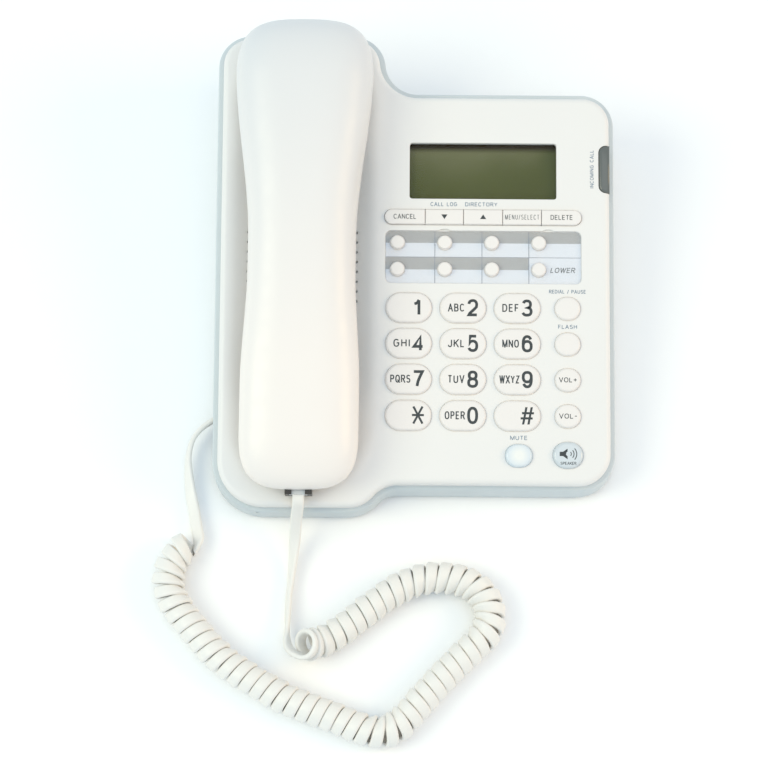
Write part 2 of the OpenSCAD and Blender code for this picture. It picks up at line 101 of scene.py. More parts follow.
# The turn of the surface, as a cosine, between which an edge counts as worn.
EDGE_TURN = 0.6, 0.97
EDGE_RADIUS = 0.0005
FINE, COARSE = 0.00003, 0.0002


class Nodes:
    """A short way to write a node tree."""

    def __init__(self, name):
        self.mat = bpy.data.materials.new(name)
        self.mat.use_nodes = True
        self.tree = self.mat.node_tree
        self.tree.nodes.clear()
        self.out = self.tree.nodes.new("ShaderNodeOutputMaterial")
        self.bsdf = self.tree.nodes.new("ShaderNodeBsdfPrincipled")
        self.link(self.bsdf.outputs["BSDF"], self.out.inputs["Surface"])
        self.coord = self.tree.nodes.new("ShaderNodeTexCoord").outputs["Object"]

    def link(self, a, b):
        self.tree.links.new(a, b)

    def give(self, name, value):
        """Feeds one input of the surface shader, from a socket or with a plain value."""
        socket = self.bsdf.inputs[name]
        if isinstance(value, bpy.types.NodeSocket):
            self.link(value, socket)
        else:
            socket.default_value = value

    def noise(self, scale, detail=2.0, rough=0.5, stretch=None):
        n = self.tree.nodes.new("ShaderNodeTexNoise")
        n.inputs["Scale"].default_value = scale
        n.inputs["Detail"].default_value = detail
        n.inputs["Roughness"].default_value = rough
        source = self.coord
        if stretch:
            m = self.tree.nodes.new("ShaderNodeMapping")
            m.inputs["Scale"].default_value = stretch
            self.link(self.coord, m.inputs["Vector"])
            source = m.outputs["Vector"]
        self.link(source, n.inputs["Vector"])
        return n.outputs["Fac"]

    def ramp(self, fac, low, high, a=0.35, b=0.65):
        """A value socket as a number from low to high."""
        n = self.tree.nodes.new("ShaderNodeMapRange")
        n.inputs["From Min"].default_value = a
        n.inputs["From Max"].default_value = b
        n.inputs["To Min"].default_value = low
        n.inputs["To Max"].default_value = high
        self.link(fac, n.inputs["Value"])
        return n.outputs["Result"]

    def mix(self, fac, a, b):
        n = self.tree.nodes.new("ShaderNodeMix")
        n.data_type = "RGBA"
        self.link(fac, n.inputs["Factor"])
        for value, socket in ((a, n.inputs["A"]), (b, n.inputs["B"])):
            if isinstance(value, (tuple, list)):
                socket.default_value = (*value[:3], 1)
            else:
                self.link(value, socket)
        return n.outputs["Result"]

    def bump(self, height, strength, distance, before=None):
        n = self.tree.nodes.new("ShaderNodeBump")
        n.inputs["Strength"].default_value = strength
        n.inputs["Distance"].default_value = distance
        self.link(height, n.inputs["Height"])
        if before is not None:
            self.link(before, n.inputs["Normal"])
        return n.outputs["Normal"]

    def along_y(self, a, b, low=0.0, high=1.0):
        """A number that runs from low to high between two places on the y axis, in metres."""
        n = self.tree.nodes.new("ShaderNodeSeparateXYZ")
        self.link(self.coord, n.inputs["Vector"])
        return self.ramp(n.outputs["Y"], low, high, a, b)

    def math(self, kind, a, b=0.0):
        n = self.tree.nodes.new("ShaderNodeMath")
        n.operation = kind
        n.use_clamp = True
        for value, socket in ((a, n.inputs[0]), (b, n.inputs[1])):
            if isinstance(value, (int, float)):
                socket.default_value = value
            else:
                self.link(value, socket)
        return n.outputs["Value"]

    def edges(self, radius):
        """Where the surface turns sharply: 0 on flat places, up to 1 on edges."""
        bevel = self.tree.nodes.new("ShaderNodeBevel")
        bevel.samples = 4
        bevel.inputs["Radius"].default_value = radius
        true = self.tree.nodes.new("ShaderNodeNewGeometry")
        dot = self.tree.nodes.new("ShaderNodeVectorMath")
        dot.operation = "DOT_PRODUCT"
        self.link(bevel.outputs["Normal"], dot.inputs[0])
        self.link(true.outputs["Normal"], dot.inputs[1])
        return self.ramp(dot.outputs["Value"], 1, 0, *EDGE_TURN)


def tone(color, k):
    return tuple(min(1, max(0, c * k)) for c in color[:3])


def moulded(name, color, rough=0.4, spread=0.06, grain=0.25, grain_size=2200, drift=0.02, coat=0.0, alpha=1.0,
            subsurface=0.0, metallic=0.0, specular=0.5, second=None, wear=0.0, front=None, span=(-0.1, 0.1)):
    """Moulded plastic: fine spark-eroded grain, slow change of tone and of gloss, rubbed edges.

    front is a colour that takes over towards the near end of span, a pair of places on the y axis."""
    t = Nodes(name)
    slow = t.noise(28, 3, 0.6)
    fine = t.noise(grain_size, 2, 0.6)
    flow = t.noise(160, 4, 0.55)
    base = t.mix(t.ramp(slow, 0, 1, 0.3, 0.7), tone(color, 1 - drift), tone(second or color, 1 + drift * 0.4))
    speck = t.mix(t.ramp(fine, 0, 1, 0.3, 0.7), tone(color, 1 - drift * 0.7), tone(color, 1))
    blend = t.mix(t.ramp(flow, 0.35, 0.65), base, speck)
    if front:
        blend = t.mix(t.along_y(*span, 1, 0), blend, front)
    gloss = t.ramp(flow, rough - spread, rough + spread)
    if wear:
        rubbed = t.math("MULTIPLY", t.edges(EDGE_RADIUS), t.ramp(flow, 0, 1, 0.3, 0.6))
        blend = t.mix(t.math("MULTIPLY", rubbed, wear), blend, tone(color, 1.12))
        gloss = t.math("SUBTRACT", gloss, t.math("MULTIPLY", rubbed, 0.12))
    t.give("Base Color", blend)
    t.give("Roughness", gloss)
    first = t.bump(fine, grain, FINE)
    t.give("Normal", t.bump(slow, 0.04, COARSE, first))
    t.give("Specular IOR Level", specular)
    t.give("Metallic", metallic)
    t.give("Alpha", alpha)
    if coat:
        t.give("Coat Weight", coat)
        t.give("Coat Roughness", 0.12)
    if subsurface:
        t.give("Subsurface Weight", subsurface)
        t.give("Subsurface Radius", (0.003, 0.0028, 0.0024))
        t.give("Subsurface Scale", 0.4)
    return t.mat


def srgb(r, g, b):
    """A display colour from 0 to 255 as the linear one that the nodes use."""
    return tuple(((c / 255 + 0.055) / 1.055) ** 2.4 if c > 10 else c / 255 / 12.92 for c in (r, g, b))


def clear(name, color, rough, alpha, ripple=0.03):
    """Clear plastic with faint wipe marks."""
    t = Nodes(name)
    wipe = t.noise(90, 4, 0.6, (1, 3.5, 1))
    fine = t.noise(1500, 2, 0.5)
    t.give("Base Color", t.mix(t.ramp(wipe, 0, 1), tone(color, 0.985), tone(color, 1.0)))
    t.give("Roughness", t.ramp(wipe, rough, rough + 0.05))
    t.give("Normal", t.bump(fine, ripple, 0.00002))
    t.give("Alpha", t.ramp(wipe, alpha, alpha * 1.25))
    return t.mat


# Where the display's painted sheen, a painted reflection, grows, and where the painted shadow of the window's
# rim lies.
PAINTED_SHEEN_Y = 0.034, 0.05
PAINTED_SHADOW_Y = 0.0492, 0.0516


def display(name):
    """Reflective display glass: olive, with a soft painted sheen, a painted reflection, over the far half,
    and a painted shadow under the window's rim.
    """
    t = Nodes(name)
    slow = t.noise(30, 3, 0.5)
    olive = t.mix(t.ramp(slow, 0, 1), srgb(78, 83, 44), srgb(83, 88, 48))
    painted_sheen_mask = t.along_y(*PAINTED_SHEEN_Y)
    painted_sheen_patches = t.ramp(t.noise(22, 1, 0.4), 0.1, 1, 0.4, 0.6)
    # lift is the olive with a painted reflection, a lighter sheen in patches, over the display's far half.
    lift = t.mix(t.math("MULTIPLY", painted_sheen_mask, painted_sheen_patches), olive, srgb(108, 110, 79))
    # A painted shadow of the window's rim darkens the display along its far edge.
    shade = t.mix(t.along_y(*PAINTED_SHADOW_Y), lift, srgb(40, 30, 12))
    t.give("Base Color", shade)
    t.give("Roughness", t.ramp(slow, 0.16, 0.24))
    t.give("Normal", t.bump(slow, 0.02, 0.00005))
    t.give("Specular IOR Level", 0.1)
    return t.mat


def ringed(name, middle, color, ring, near, far):
    """A moulded colour that turns into another in a ring round a point."""
    t = Nodes(name)
    d = t.tree.nodes.new("ShaderNodeVectorMath")
    d.operation = "DISTANCE"
    t.link(t.coord, d.inputs[0])
    d.inputs[1].default_value = middle
    slow = t.noise(60, 3, 0.5)
    blend = t.mix(t.ramp(d.outputs["Value"], 0, 1, near, far), tone(color, 1), ring)
    t.give("Base Color", blend)
    t.give("Roughness", t.ramp(slow, 0.22, 0.32))
    t.give("Normal", t.bump(t.noise(1800, 2, 0.5), 0.04, 0.00003))
    t.give("Coat Weight", 0.2)
    return t.mat


def board(name):
    """Circuit board: green mask over traces."""
    t = Nodes(name)
    wave = t.tree.nodes.new("ShaderNodeTexVoronoi")
    wave.distance = "CHEBYCHEV"
    wave.inputs["Scale"].default_value = 260
    t.link(t.coord, wave.inputs["Vector"])
    trace = t.ramp(wave.outputs["Distance"], 0, 1, 0.28, 0.34)
    t.give("Base Color", t.mix(trace, srgb(44, 92, 58), srgb(26, 70, 44)))
    t.give("Roughness", t.ramp(t.noise(120, 3), 0.25, 0.4))
    t.give("Normal", t.bump(trace, 0.3, 0.00003))
    t.give("Coat Weight", 0.4)
    return t.mat


SHELL = moulded("shell_white", srgb(234, 231, 227), 0.42, grain=0.14, drift=0.012, wear=0.3)
CASING = moulded("casing_blue_grey", srgb(204, 211, 213), 0.45, grain=0.2, drift=0.03, wear=0.5)
# The handset runs from grey at its ear end to ivory towards its mouth end: partly a change of tone, partly
# painted shade on the ear end, which tilts away from the lamps.
HANDSET = moulded("handset_ivory", srgb(222, 222, 222), 0.36, grain=0.015, grain_size=700, drift=0.01,
                  wear=0.15, front=srgb(241, 233, 226), span=(-0.05, 0.1))
CORD = moulded("cord_ivory", srgb(239, 235, 228), 0.42, grain=0.08, grain_size=900, drift=0.03)
KEY = moulded("key_ivory", srgb(236, 230, 225), 0.4, grain=0.07, drift=0.015, wear=0.4)
TINTED = moulded("key_ice_blue", srgb(210, 216, 219), 0.2, grain=0.04, coat=0.35, drift=0.02, wear=0.3)
MUTE = ringed("key_mute_cap", tuple(c * MM for c in from_face([(44, -75.9, 1.2)])[0]), srgb(238, 237, 231),
              srgb(214, 223, 229), 0.0016, 0.0052)
INK = moulded("ink_charcoal", srgb(56, 61, 62), 0.5, grain=0.2, drift=0.1)
INK_BLUE = moulded("ink_slate", srgb(120, 137, 153), 0.5, grain=0.2, drift=0.08)
DARK = moulded("plastic_black", srgb(52, 48, 44), 0.45, drift=0.1, wear=0.3)
JACK = moulded("jack_grey", srgb(66, 68, 70), 0.5, drift=0.12, wear=0.3)
LENS = moulded("call_light_smoke", srgb(98, 101, 97), 0.18, grain=0.03, coat=0.3, drift=0.06, spread=0.04,
               wear=0.4)
GLASS = clear("display_window", (0.3, 0.31, 0.3), 0.04, 0.022, ripple=0.004)
COVER = clear("card_cover_clear", (0.9, 0.92, 0.94), 0.08, 0.09)
PLUG = clear("plug_clear", (0.78, 0.8, 0.8), 0.14, 0.55)
LCD = display("display_glass")
CARD = moulded("index_card", srgb(226, 228, 234), 0.65, grain=0.3, grain_size=3000, drift=0.012)
CARD_GREY = moulded("index_card_grey", srgb(164, 162, 160), 0.6, grain=0.4, grain_size=3000, drift=0.05)
CARD_LINE = moulded("index_card_line", srgb(118, 122, 136), 0.6, grain=0.2, drift=0.06)
SILICONE = moulded("silicone_grey", srgb(168, 170, 168), 0.6, grain=0.3, drift=0.05, subsurface=0.15)
BOARD = board("circuit_board")
METAL = moulded("plated_steel", srgb(186, 186, 182), 0.28, grain=0.3, drift=0.06, metallic=1.0, wear=0.3)
CELL = moulded("cell_jacket", srgb(176, 128, 52), 0.34, grain=0.1, coat=0.3, drift=0.1, metallic=0.25,
               second=srgb(150, 100, 44))
RUBBER = moulded("rubber_feet", srgb(58, 60, 62), 0.75, grain=0.5, grain_size=1600, drift=0.12)
CONE = moulded("speaker_cone", srgb(46, 47, 50), 0.7, grain=0.6, grain_size=1200, drift=0.15)
CLOTH = moulded("speaker_cloth", srgb(176, 178, 176), 0.85, grain=0.8, grain_size=1400, drift=0.1)
WEIGHT = moulded("cast_weight", srgb(112, 116, 122), 0.4, grain=0.8, grain_size=700, drift=0.15, metallic=0.7,
                 wear=0.4)

# ---------------------------------------------------------------- meshes


# Faces that meet at more than this many degrees show an edge, and points closer than WELD metres are one.
SHARP = 38
WELD = 1e-7
# A face whose normal is this close to straight up or down is shaded flat.
LEVEL = 0.99999


class Build:
    """Collects points and faces in mm of the row frame, then makes one object."""

    def __init__(self):
        self.points, self.faces = [], []

    def add(self, points, face=False):
        points = from_face(points) if face else np.asarray(points, float)
        start = len(self.points)
        self.points.extend([tuple(p) for p in points])
        return list(range(start, start + len(points)))

    def strip(self, a, b, closed=True):
        n = len(a)
        for i in range(n if closed else n - 1):
            j = (i + 1) % n
            self.faces.append((a[i], a[j], b[j], b[i]))

    def loft(self, loops, closed=True):
        for a, b in zip(loops, loops[1:]):
            self.strip(a, b, closed)

    def stack(self, rings):
        """A closed solid from loops one above the other, both its ends capped."""
        self.loft(rings)
        self.faces += [tuple(rings[0][::-1]), tuple(rings[-1])]

    def sheet(self, xy, tris, high, low):
        """The upper and the lower face of a sheet. Gives the numbers of their points."""
        top = self.add(with_height(xy, high), True)
        bottom = self.add(with_height(xy, low), True)
        self.faces += [tuple(top[i] for i in t) for t in tris]
        self.faces += [tuple(bottom[i] for i in t[::-1]) for t in tris]
        return top, bottom

    def fan(self, loop, tip):
        for i in range(len(loop)):
            self.faces.append((loop[i], loop[(i + 1) % len(loop)], tip))

    def object(self, name, material, angle=SHARP):
        mesh = bpy.data.meshes.new(name)
        mesh.from_pydata([tuple(c * MM for c in p) for p in self.points], [], self.faces)
        mesh.validate()
        b = bmesh.new()
        b.from_mesh(mesh)
        bmesh.ops.remove_doubles(b, verts=b.verts, dist=WELD)
        bmesh.ops.recalc_face_normals(b, faces=b.faces)
        b.to_mesh(mesh)
        b.free()
        mesh.materials.append(material)
        return shaded(name, mesh, angle)


def shaded(name, mesh, angle=SHARP):
    mesh.shade_smooth()
    mesh.set_sharp_from_angle(angle=math.radians(angle))
    obj = bpy.data.objects.new(name, mesh)
    scene.collection.objects.link(obj)
    return obj


def cut(obj, *cutters, kind="DIFFERENCE"):
    """Takes the cutters away from obj, and puts the result in its mesh."""
    for c in cutters:
        m = obj.modifiers.new("cut", "BOOLEAN")
        m.operation, m.solver, m.object = kind, "EXACT", c
    bpy.context.view_layer.update()
    depsgraph = bpy.context.evaluated_depsgraph_get()
    mesh = bpy.data.meshes.new_from_object(obj.evaluated_get(depsgraph))
    obj.modifiers.clear()
    old = obj.data
    obj.data = mesh
    bpy.data.meshes.remove(old)
    obj.data.name = obj.name
    obj.data.shade_smooth()
    obj.data.set_sharp_from_angle(angle=math.radians(SHARP))
    for face in obj.data.polygons:
        if abs(face.normal.z) > LEVEL:
            face.use_smooth = False
    for c in cutters:
        bpy.data.objects.remove(c)
    return obj


def copy_of(node, name, material):
    """A new object with a copy of a CAD node's mesh."""
    obj = bpy.data.objects.new(name, nodes[node].data.copy())
    obj.matrix_world = nodes[node].matrix_world
    scene.collection.objects.link(obj)
    obj.data.materials.clear()
    obj.data.materials.append(material)
    return obj


def arc(cx, cy, r, a, b, n):
    t = np.radians(np.linspace(a, b, n + 1))
    return np.stack([cx + r * np.cos(t), cy + r * np.sin(t)], 1)


def stadium(cx, cy, w, h, d=0.0, n=16):
    r, s = h / 2 + d, (w - h) / 2
    return np.concatenate([arc(cx + s, cy, r, -90, 90, n), arc(cx - s, cy, r, 90, 270, n)])


def circle(cx, cy, r, n=24):
    return arc(cx, cy, r, 0, 360, n)[:-1]


def rounded(x, y, r, d=0.0, n=6):
    r0 = r + d
    return np.concatenate([arc(x[1] - r, y[0] + r, r0, -90, 0, n), arc(x[1] - r, y[1] - r, r0, 0, 90, n),
                           arc(x[0] + r, y[1] - r, r0, 90, 180, n), arc(x[0] + r, y[0] + r, r0, 180, 270, n)])


def with_height(loop, z):
    z = np.broadcast_to(np.asarray(z, float), (len(loop),))
    return np.column_stack([loop, z])


def inside(points, loop):
    """Which points lie inside the closed loop."""
    x, y = points[:, 0][:, None], points[:, 1][:, None]
    a, b = loop, np.roll(loop, -1, 0)
    cross = (a[:, 1] > y) != (b[:, 1] > y)
    with np.errstate(divide="ignore", invalid="ignore"):
        at = (b[:, 0] - a[:, 0]) * (y - a[:, 1]) / (b[:, 1] - a[:, 1]) + a[:, 0]
    return ((cross & (x < at)).sum(1) % 2) == 1


def triangulate(outer, holes, extra_loops=(), extra_points=None):
    """Triangles between an outer loop and holes.

    Gives the points, the triangles and, for each loop, the numbers of its points."""
    loops = [outer, *holes, *extra_loops]
    points, edges, spans = [], [], []
    for loop in loops:
        start = len(points)
        points.extend(loop.tolist())
        n = len(loop)
        edges.extend((start + i, start + (i + 1) % n) for i in range(n))
        spans.append((start, n))
    if extra_points is not None and len(extra_points):
        points.extend(extra_points.tolist())
    out = delaunay_2d_cdt([Vector(p) for p in points], edges, [], 0, 1e-5)
    xy = np.array([tuple(v) for v in out[0]])
    tris = np.array([f for f in out[2] if len(f) == 3])
    renumber = {}
    for new, olds in enumerate(out[3]):
        for old in olds:
            renumber[old] = new
    middle = xy[tris].mean(1)
    keep = inside(middle, outer)
    for hole in holes:
        lo, hi = hole.min(0), hole.max(0)
        near = keep & (middle >= lo).all(1) & (middle <= hi).all(1)
        at = np.nonzero(near)[0]
        if len(at):
            keep[at[inside(middle[at], hole)]] = False
    numbers = [[renumber[s + i] for i in range(n)] for s, n in spans]
    return xy, tris[keep], numbers


# ---------------------------------------------------------------- the cord

HAND_X = -48.1
COIL_R = 5.3
CORD_W, CORD_T = 5.0, 2.1
COIL_PITCH = 5.19
# Height of the coil's middle above the desk, and where round the coil its first turn starts, in degrees.
COIL_Z, COIL_START = 6.75, 205
# Points per turn of the coil, half the window that evens out its tip, points per stretch of a route,
# and the length between the points of a lead.
TURN, TIP_WINDOW, CURL_STEPS, LEAD_STEPS, LEAD_STEP = 20, 5, 12, 6, 1.6
CORD_EDGE = 0.98
# Where the lead leaves the handset's plug and where it has cleared the jack: y and height on the face.
PLUG_EXIT, PLUG_OUT = (-92.1, 8.2), (-95.8, 8.0)
# The shares of the first lead at which its last twist begins and the hook takes over.
PART, HOOK = 0.86, 0.94
BASE_ROUTE = [
    (-85.2, -60.5, 8), (-88, -62.2, 7.9), (-91.7, -65.3, 7.6), (-94.9, -70.2, 7), (-96.2, -77, 6),
    (-96, -83, 5.2), (-95.3, -89, 4.6), (-94.2, -95, 4.2), (-92.9, -101.4, 4.2), (-91.8, -107.6, 4.6),
    (-90.9, -112, 5), (-91.4, -115.6, 4.9),
]
CURL_ROUTE = [
    (-94.5, -115.4), (-98.7, -118.8), (-101.9, -124), (-103.2, -130.5), (-101.6, -138),
    (-97.5, -144.5), (-92.5, -150.5), (-86.5, -157.5), (-79.5, -164.5), (-71, -170.5), (-62.5, -175.5),
    (-52.5, -181), (-42.5, -185), (-32.5, -188.5), (-24, -192), (-16.5, -194.5), (-9.5, -194),
    (-4, -190), (1, -184), (8, -176), (15.5, -168), (23.5, -160), (30, -153.5), (32.5, -146.5),
    (31, -139), (25.5, -132.5), (17.5, -129.5), (9, -129), (1, -130.5), (-6.5, -134), (-14.5, -139.5),
    (-22.5, -146), (-30, -152), (-37, -156.6, 7.2), (-41.8, -158.4, 9), (-45.4, -159.5, 13.4),
]
START_AIM, END_AIM = (-0.63, 0.77, 0), (-0.85, 0.35, -0.2)
HAND_ROUTE = [
    (-52.6, -150.5, 4.6), (-52.5, -144, 3.9), (-52.2, -137, 3.4), (-51.5, -129.8, 3.2),
    (-50.7, -121.4, 4.6), (-49.9, -113, 9), (-49.2, -106.6, 17), (-48.6, -104, 22.4),
]


def smooth(points, steps):
    """A Catmull-Rom line through the points."""
    p = np.asarray(points, float)
    out = []
    for i in range(len(p) - 1):
        a, b, c, e = p[max(i - 1, 0)], p[i], p[i + 1], p[min(i + 2, len(p) - 1)]
        for k in range(steps):
            t = k / steps
            out.append(b + (c - a) * t / 2 + (2 * a - 5 * b + 4 * c - e) * t * t / 2
                       + (3 * b - a - 3 * c + e) * t ** 3 / 2)
    out.append(p[-1])
    return np.array(out)


def lengths(p):
    return np.concatenate([[0], np.cumsum(np.linalg.norm(np.diff(p, axis=0), axis=1))])


def resample(p, step):
    s = lengths(p)
    n = max(2, int(round(s[-1] / step)) + 1)
    t = np.linspace(0, s[-1], n)
    return np.stack([np.interp(t, s, p[:, k]) for k in range(3)], 1)


def unit(v):
    v = np.asarray(v, float)
    return v / np.maximum(np.linalg.norm(v, axis=-1, keepdims=True), 1e-12)


# The coil winds round a line of its own. Its frame is carried along without twist.
axis = smooth([(*p, COIL_Z) if len(p) == 2 else p for p in CURL_ROUTE], CURL_STEPS)
axis = resample(axis, COIL_PITCH / TURN)
along = unit(np.gradient(axis, axis=0))
kernel = np.hanning(2 * TURN + 1)
kernel /= kernel.sum()
padded = np.concatenate([np.repeat(along[:1], TURN, 0), along, np.repeat(along[-1:], TURN, 0)])
along = unit(np.stack([np.convolve(padded[:, k], kernel, "valid") for k in range(3)], 1))
across = [unit(np.cross(along[0], (0, 0, 1)))]
for a in along[1:]:
    across.append(unit(across[-1] - a * np.dot(across[-1], a)))
across = np.array(across)
over = np.cross(across, along)
axis_s = lengths(axis)
turn = np.radians(COIL_START) + 2 * np.pi * axis_s / COIL_PITCH
out_dir = np.cos(turn)[:, None] * across + np.sin(turn)[:, None] * over
wander = 0.12 * np.sin(0.37 * turn) + 0.08 * np.sin(1.71 * turn + 2)
coil = axis + (COIL_R + wander)[:, None] * out_dir

# Where the line bends, the turns bunch up on the inside and the band tips to fit.
bend = np.gradient(along, axis_s, axis=0)
local_pitch = COIL_PITCH * (1 - COIL_R * (bend * out_dir).sum(1))
tip = np.arccos(np.clip(local_pitch / (CORD_W + 0.15), 0.78, 1))
tip = np.maximum(tip, np.radians(8 + 4 * np.sin(0.83 * turn + 1) + 3 * np.sin(0.31 * turn)))
kernel = np.hanning(2 * TIP_WINDOW + 1)
kernel /= kernel.sum()
tip = np.convolve(np.pad(tip, TIP_WINDOW, "edge"), kernel, "valid")
coil_tangent = unit(np.gradient(coil, axis=0))
coil_wide = unit(np.cross(coil_tangent, out_dir))
coil_thick = unit(np.cross(coil_wide, coil_tangent))
coil_wide, coil_thick = (np.cos(tip)[:, None] * coil_wide + np.sin(tip)[:, None] * coil_thick,
                         np.cos(tip)[:, None] * coil_thick - np.sin(tip)[:, None] * coil_wide)

# The coil begins and ends where its own turn points the way of the lead.
first = int(np.argmax(coil_tangent[:TURN] @ unit(START_AIM)))
last = len(coil) - TURN + int(np.argmax(coil_tangent[-TURN:] @ unit(END_AIM)))
coil, coil_tangent, coil_wide = coil[first:last + 1], coil_tangent[first:last + 1], coil_wide[first:last + 1]
axis_s = axis_s[first:last + 1] - axis_s[first]


def join(p0, t0, p1, t1, n=14):
    """A smooth line from p0, leaving along t0, to p1, arriving along t1."""
    d = np.linalg.norm(np.subtract(p1, p0)) * 1.25
    t = np.linspace(0, 1, n + 1)[1:-1][:, None]
    h = (2 * t ** 3 - 3 * t ** 2 + 1, t ** 3 - 2 * t ** 2 + t, -2 * t ** 3 + 3 * t ** 2, t ** 3 - t ** 2)
    return h[0] * p0 + h[1] * d * unit(t0) + h[2] * p1 + h[3] * d * unit(t1)


lead_in = smooth(BASE_ROUTE, LEAD_STEPS)
lead_in = np.concatenate([lead_in, join(lead_in[-1], lead_in[-1] - lead_in[-2], coil[0], coil_tangent[0])])
plug_exit = from_face([(HAND_X, *PLUG_EXIT)])[0]
plug_out = from_face([(HAND_X - 0.05, *PLUG_OUT)])[0]
route_out = smooth([*HAND_ROUTE, plug_out, plug_exit], LEAD_STEPS)
joined = join(coil[-1], coil_tangent[-1], route_out[0], route_out[1] - route_out[0])
lead_out = np.concatenate([joined, route_out])
lead_in, lead_out = resample(lead_in, LEAD_STEP), resample(lead_out, LEAD_STEP)

line = np.concatenate([lead_in[:-1], coil, lead_out[1:]])
n_in, n_out = len(lead_in) - 1, len(lead_out) - 1
tangent = unit(np.gradient(line, axis=0))


def turned(count, first, last, t, ease_first, ease_last):
    """Width directions for a lead, easing from one to the other at its two ends."""
    out = []
    for i in range(count):
        u = i / max(count - 1, 1)
        w = np.clip((u - ease_first) / (ease_last - ease_first), 0, 1)
        w = w * w * (3 - 2 * w)
        d = unit((1 - w) * np.asarray(first, float) + w * np.asarray(last, float))
        d = unit(d - t[i] * np.dot(d, t[i]))
        out.append(d)
    return np.array(out)


upright = (0.25, 0, 1)
part, hook = int(n_in * PART), int(n_in * HOOK)
sign = 1 if coil_wide[0][0] > 0 else -1
flat, on_edge = sign * np.array((1, 0, 0.3)), sign * np.array((0.6, 0.1, 1))
wide_in = np.concatenate([turned(part, sign * np.array(upright), flat, tangent[:part], 0.3, 0.8),
                          turned(hook - part, flat, on_edge, tangent[part:hook], 0.0, 1.0),
                          turned(n_in - hook, on_edge, coil_wide[0], tangent[hook:n_in], 0.0, 1.0)])
tail = n_in + len(coil)
twist = n_out * 3 // 10
sign = 1 if np.dot(coil_wide[-1], upright) > 0 else -1
upright_out = sign * np.array(upright)
wide_out = np.concatenate([
    turned(twist, coil_wide[-1], upright_out, tangent[tail:tail + twist], 0.05, 0.95),
    turned(n_out - twist, upright_out, (sign, 0, 0), tangent[tail + twist:], 0.05, 0.8)])
wide = np.concatenate([wide_in, coil_wide, wide_out])
wide = unit(wide - tangent * (wide * tangent).sum(1)[:, None])
thick = np.cross(wide, tangent)


def band(w, t, r, n=4):
    """Section of the flat cord: a rectangle with round edges."""
    c = [(w / 2 - r, t / 2 - r), (-w / 2 + r, t / 2 - r), (-w / 2 + r, -t / 2 + r), (w / 2 - r, -t / 2 + r)]
    return np.concatenate([arc(x, y, r, 90 * i, 90 * i + 90, n) for i, (x, y) in enumerate(c)])


section = band(CORD_W, CORD_T, CORD_EDGE)
cord_build = Build()
rings = [cord_build.add(at + section[:, :1] * w + section[:, 1:] * t) for at, w, t in zip(line, wide, thick)]
cord_build.stack(rings)
cord = cord_build.object("handset_cord", CORD, 60)
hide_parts("cord_base_lead", "cord_curl", "cord_handset_lead")
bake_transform(cord)

# ---------------------------------------------------------------- upper shell

SIDE_X, COL_TOP, COL_FRONT, PAD_TOP, PAD_FRONT = 82.8, 104.4, -97.7, 78.9, -88
R_TOP, R_FRONT_LEFT, R_FRONT_RIGHT, R_BEND_TOP, R_BEND_FRONT = 11.4, 19.4, 13.4, 16.6, 13.8
COL_TOP_X, COL_FRONT_X = -27, -27.8
SKIRT, ROOF, WALL, EDGE_R = 8.5, 2.5, 2.4, 2.4
DISH_R, DISH_DEPTH, DISH_Y, DISH_SOFT = 60, 8, (-62, 74), 1.5


def outline(d, n=14, step=5):
    """Outline of the upper shell on the face, set in by d; always the same number of points."""
    c1 = (-SIDE_X + R_FRONT_LEFT, COL_FRONT + R_FRONT_LEFT)
    c2 = (COL_FRONT_X, COL_FRONT + R_BEND_FRONT)
    rise = 2 * R_BEND_FRONT - (PAD_FRONT - COL_FRONT)
    run = math.sqrt(4 * R_BEND_FRONT ** 2 - rise ** 2)
    c3 = (COL_FRONT_X + run, PAD_FRONT - R_BEND_FRONT)
    bend = math.degrees(math.atan2(rise, run))
    c4 = (SIDE_X - R_FRONT_RIGHT, PAD_FRONT + R_FRONT_RIGHT)
    c5 = (SIDE_X - R_TOP, PAD_TOP - R_TOP)
    c7 = (COL_TOP_X, COL_TOP - R_TOP)
    c6y, reach = PAD_TOP + R_BEND_TOP, R_TOP + R_BEND_TOP
    c6 = (c7[0] + math.sqrt(reach ** 2 - (c6y - c7[1]) ** 2), c6y)
    lean = math.degrees(math.atan2(c6[1] - c7[1], c6[0] - c7[0]))
    c8 = (-SIDE_X + R_TOP, COL_TOP - R_TOP)
    arcs = [(c1, R_FRONT_LEFT, -1, 180, 270), (c2, R_BEND_FRONT, -1, 270, 360 - bend),
            (c3, R_BEND_FRONT, 1, 180 - bend, 90), (c4, R_FRONT_RIGHT, -1, 270, 360), (c5, R_TOP, -1, 0, 90),
            (c6, R_BEND_TOP, 1, 270, 180 + lean), (c7, R_TOP, -1, lean, 90), (c8, R_TOP, -1, 90, 180)]
    made = [arc(c[0], c[1], r + s * d, a, b, n) for c, r, s, a, b in arcs]
    base = [arc(c[0], c[1], r, a, b, 1) for c, r, s, a, b in arcs]
    out = []
    for k, points in enumerate(made):
        out.append(points)
        gap = np.linalg.norm(base[(k + 1) % len(base)][0] - base[k][-1])
        m = int(gap // step)
        if m > 1:
            t = np.linspace(0, 1, m + 1)[1:-1][:, None]
            out.append(points[-1] * (1 - t) + made[(k + 1) % len(made)][0] * t)
    return np.concatenate(out)


def dish(p):
    """Height of the face: level, with the soft-edged hollow under the handset."""
    p = np.atleast_2d(p)
    dy = p[:, 1] - np.clip(p[:, 1], *DISH_Y)
    r2 = (p[:, 0] - HAND_X) ** 2 + dy ** 2
    depth = np.sqrt(np.maximum(DISH_R ** 2 - r2, 0)) - (DISH_R - DISH_DEPTH)
    blend = np.maximum(DISH_SOFT - np.abs(depth), 0) ** 2 / (4 * DISH_SOFT)
    return -(np.maximum(depth, 0) + blend)


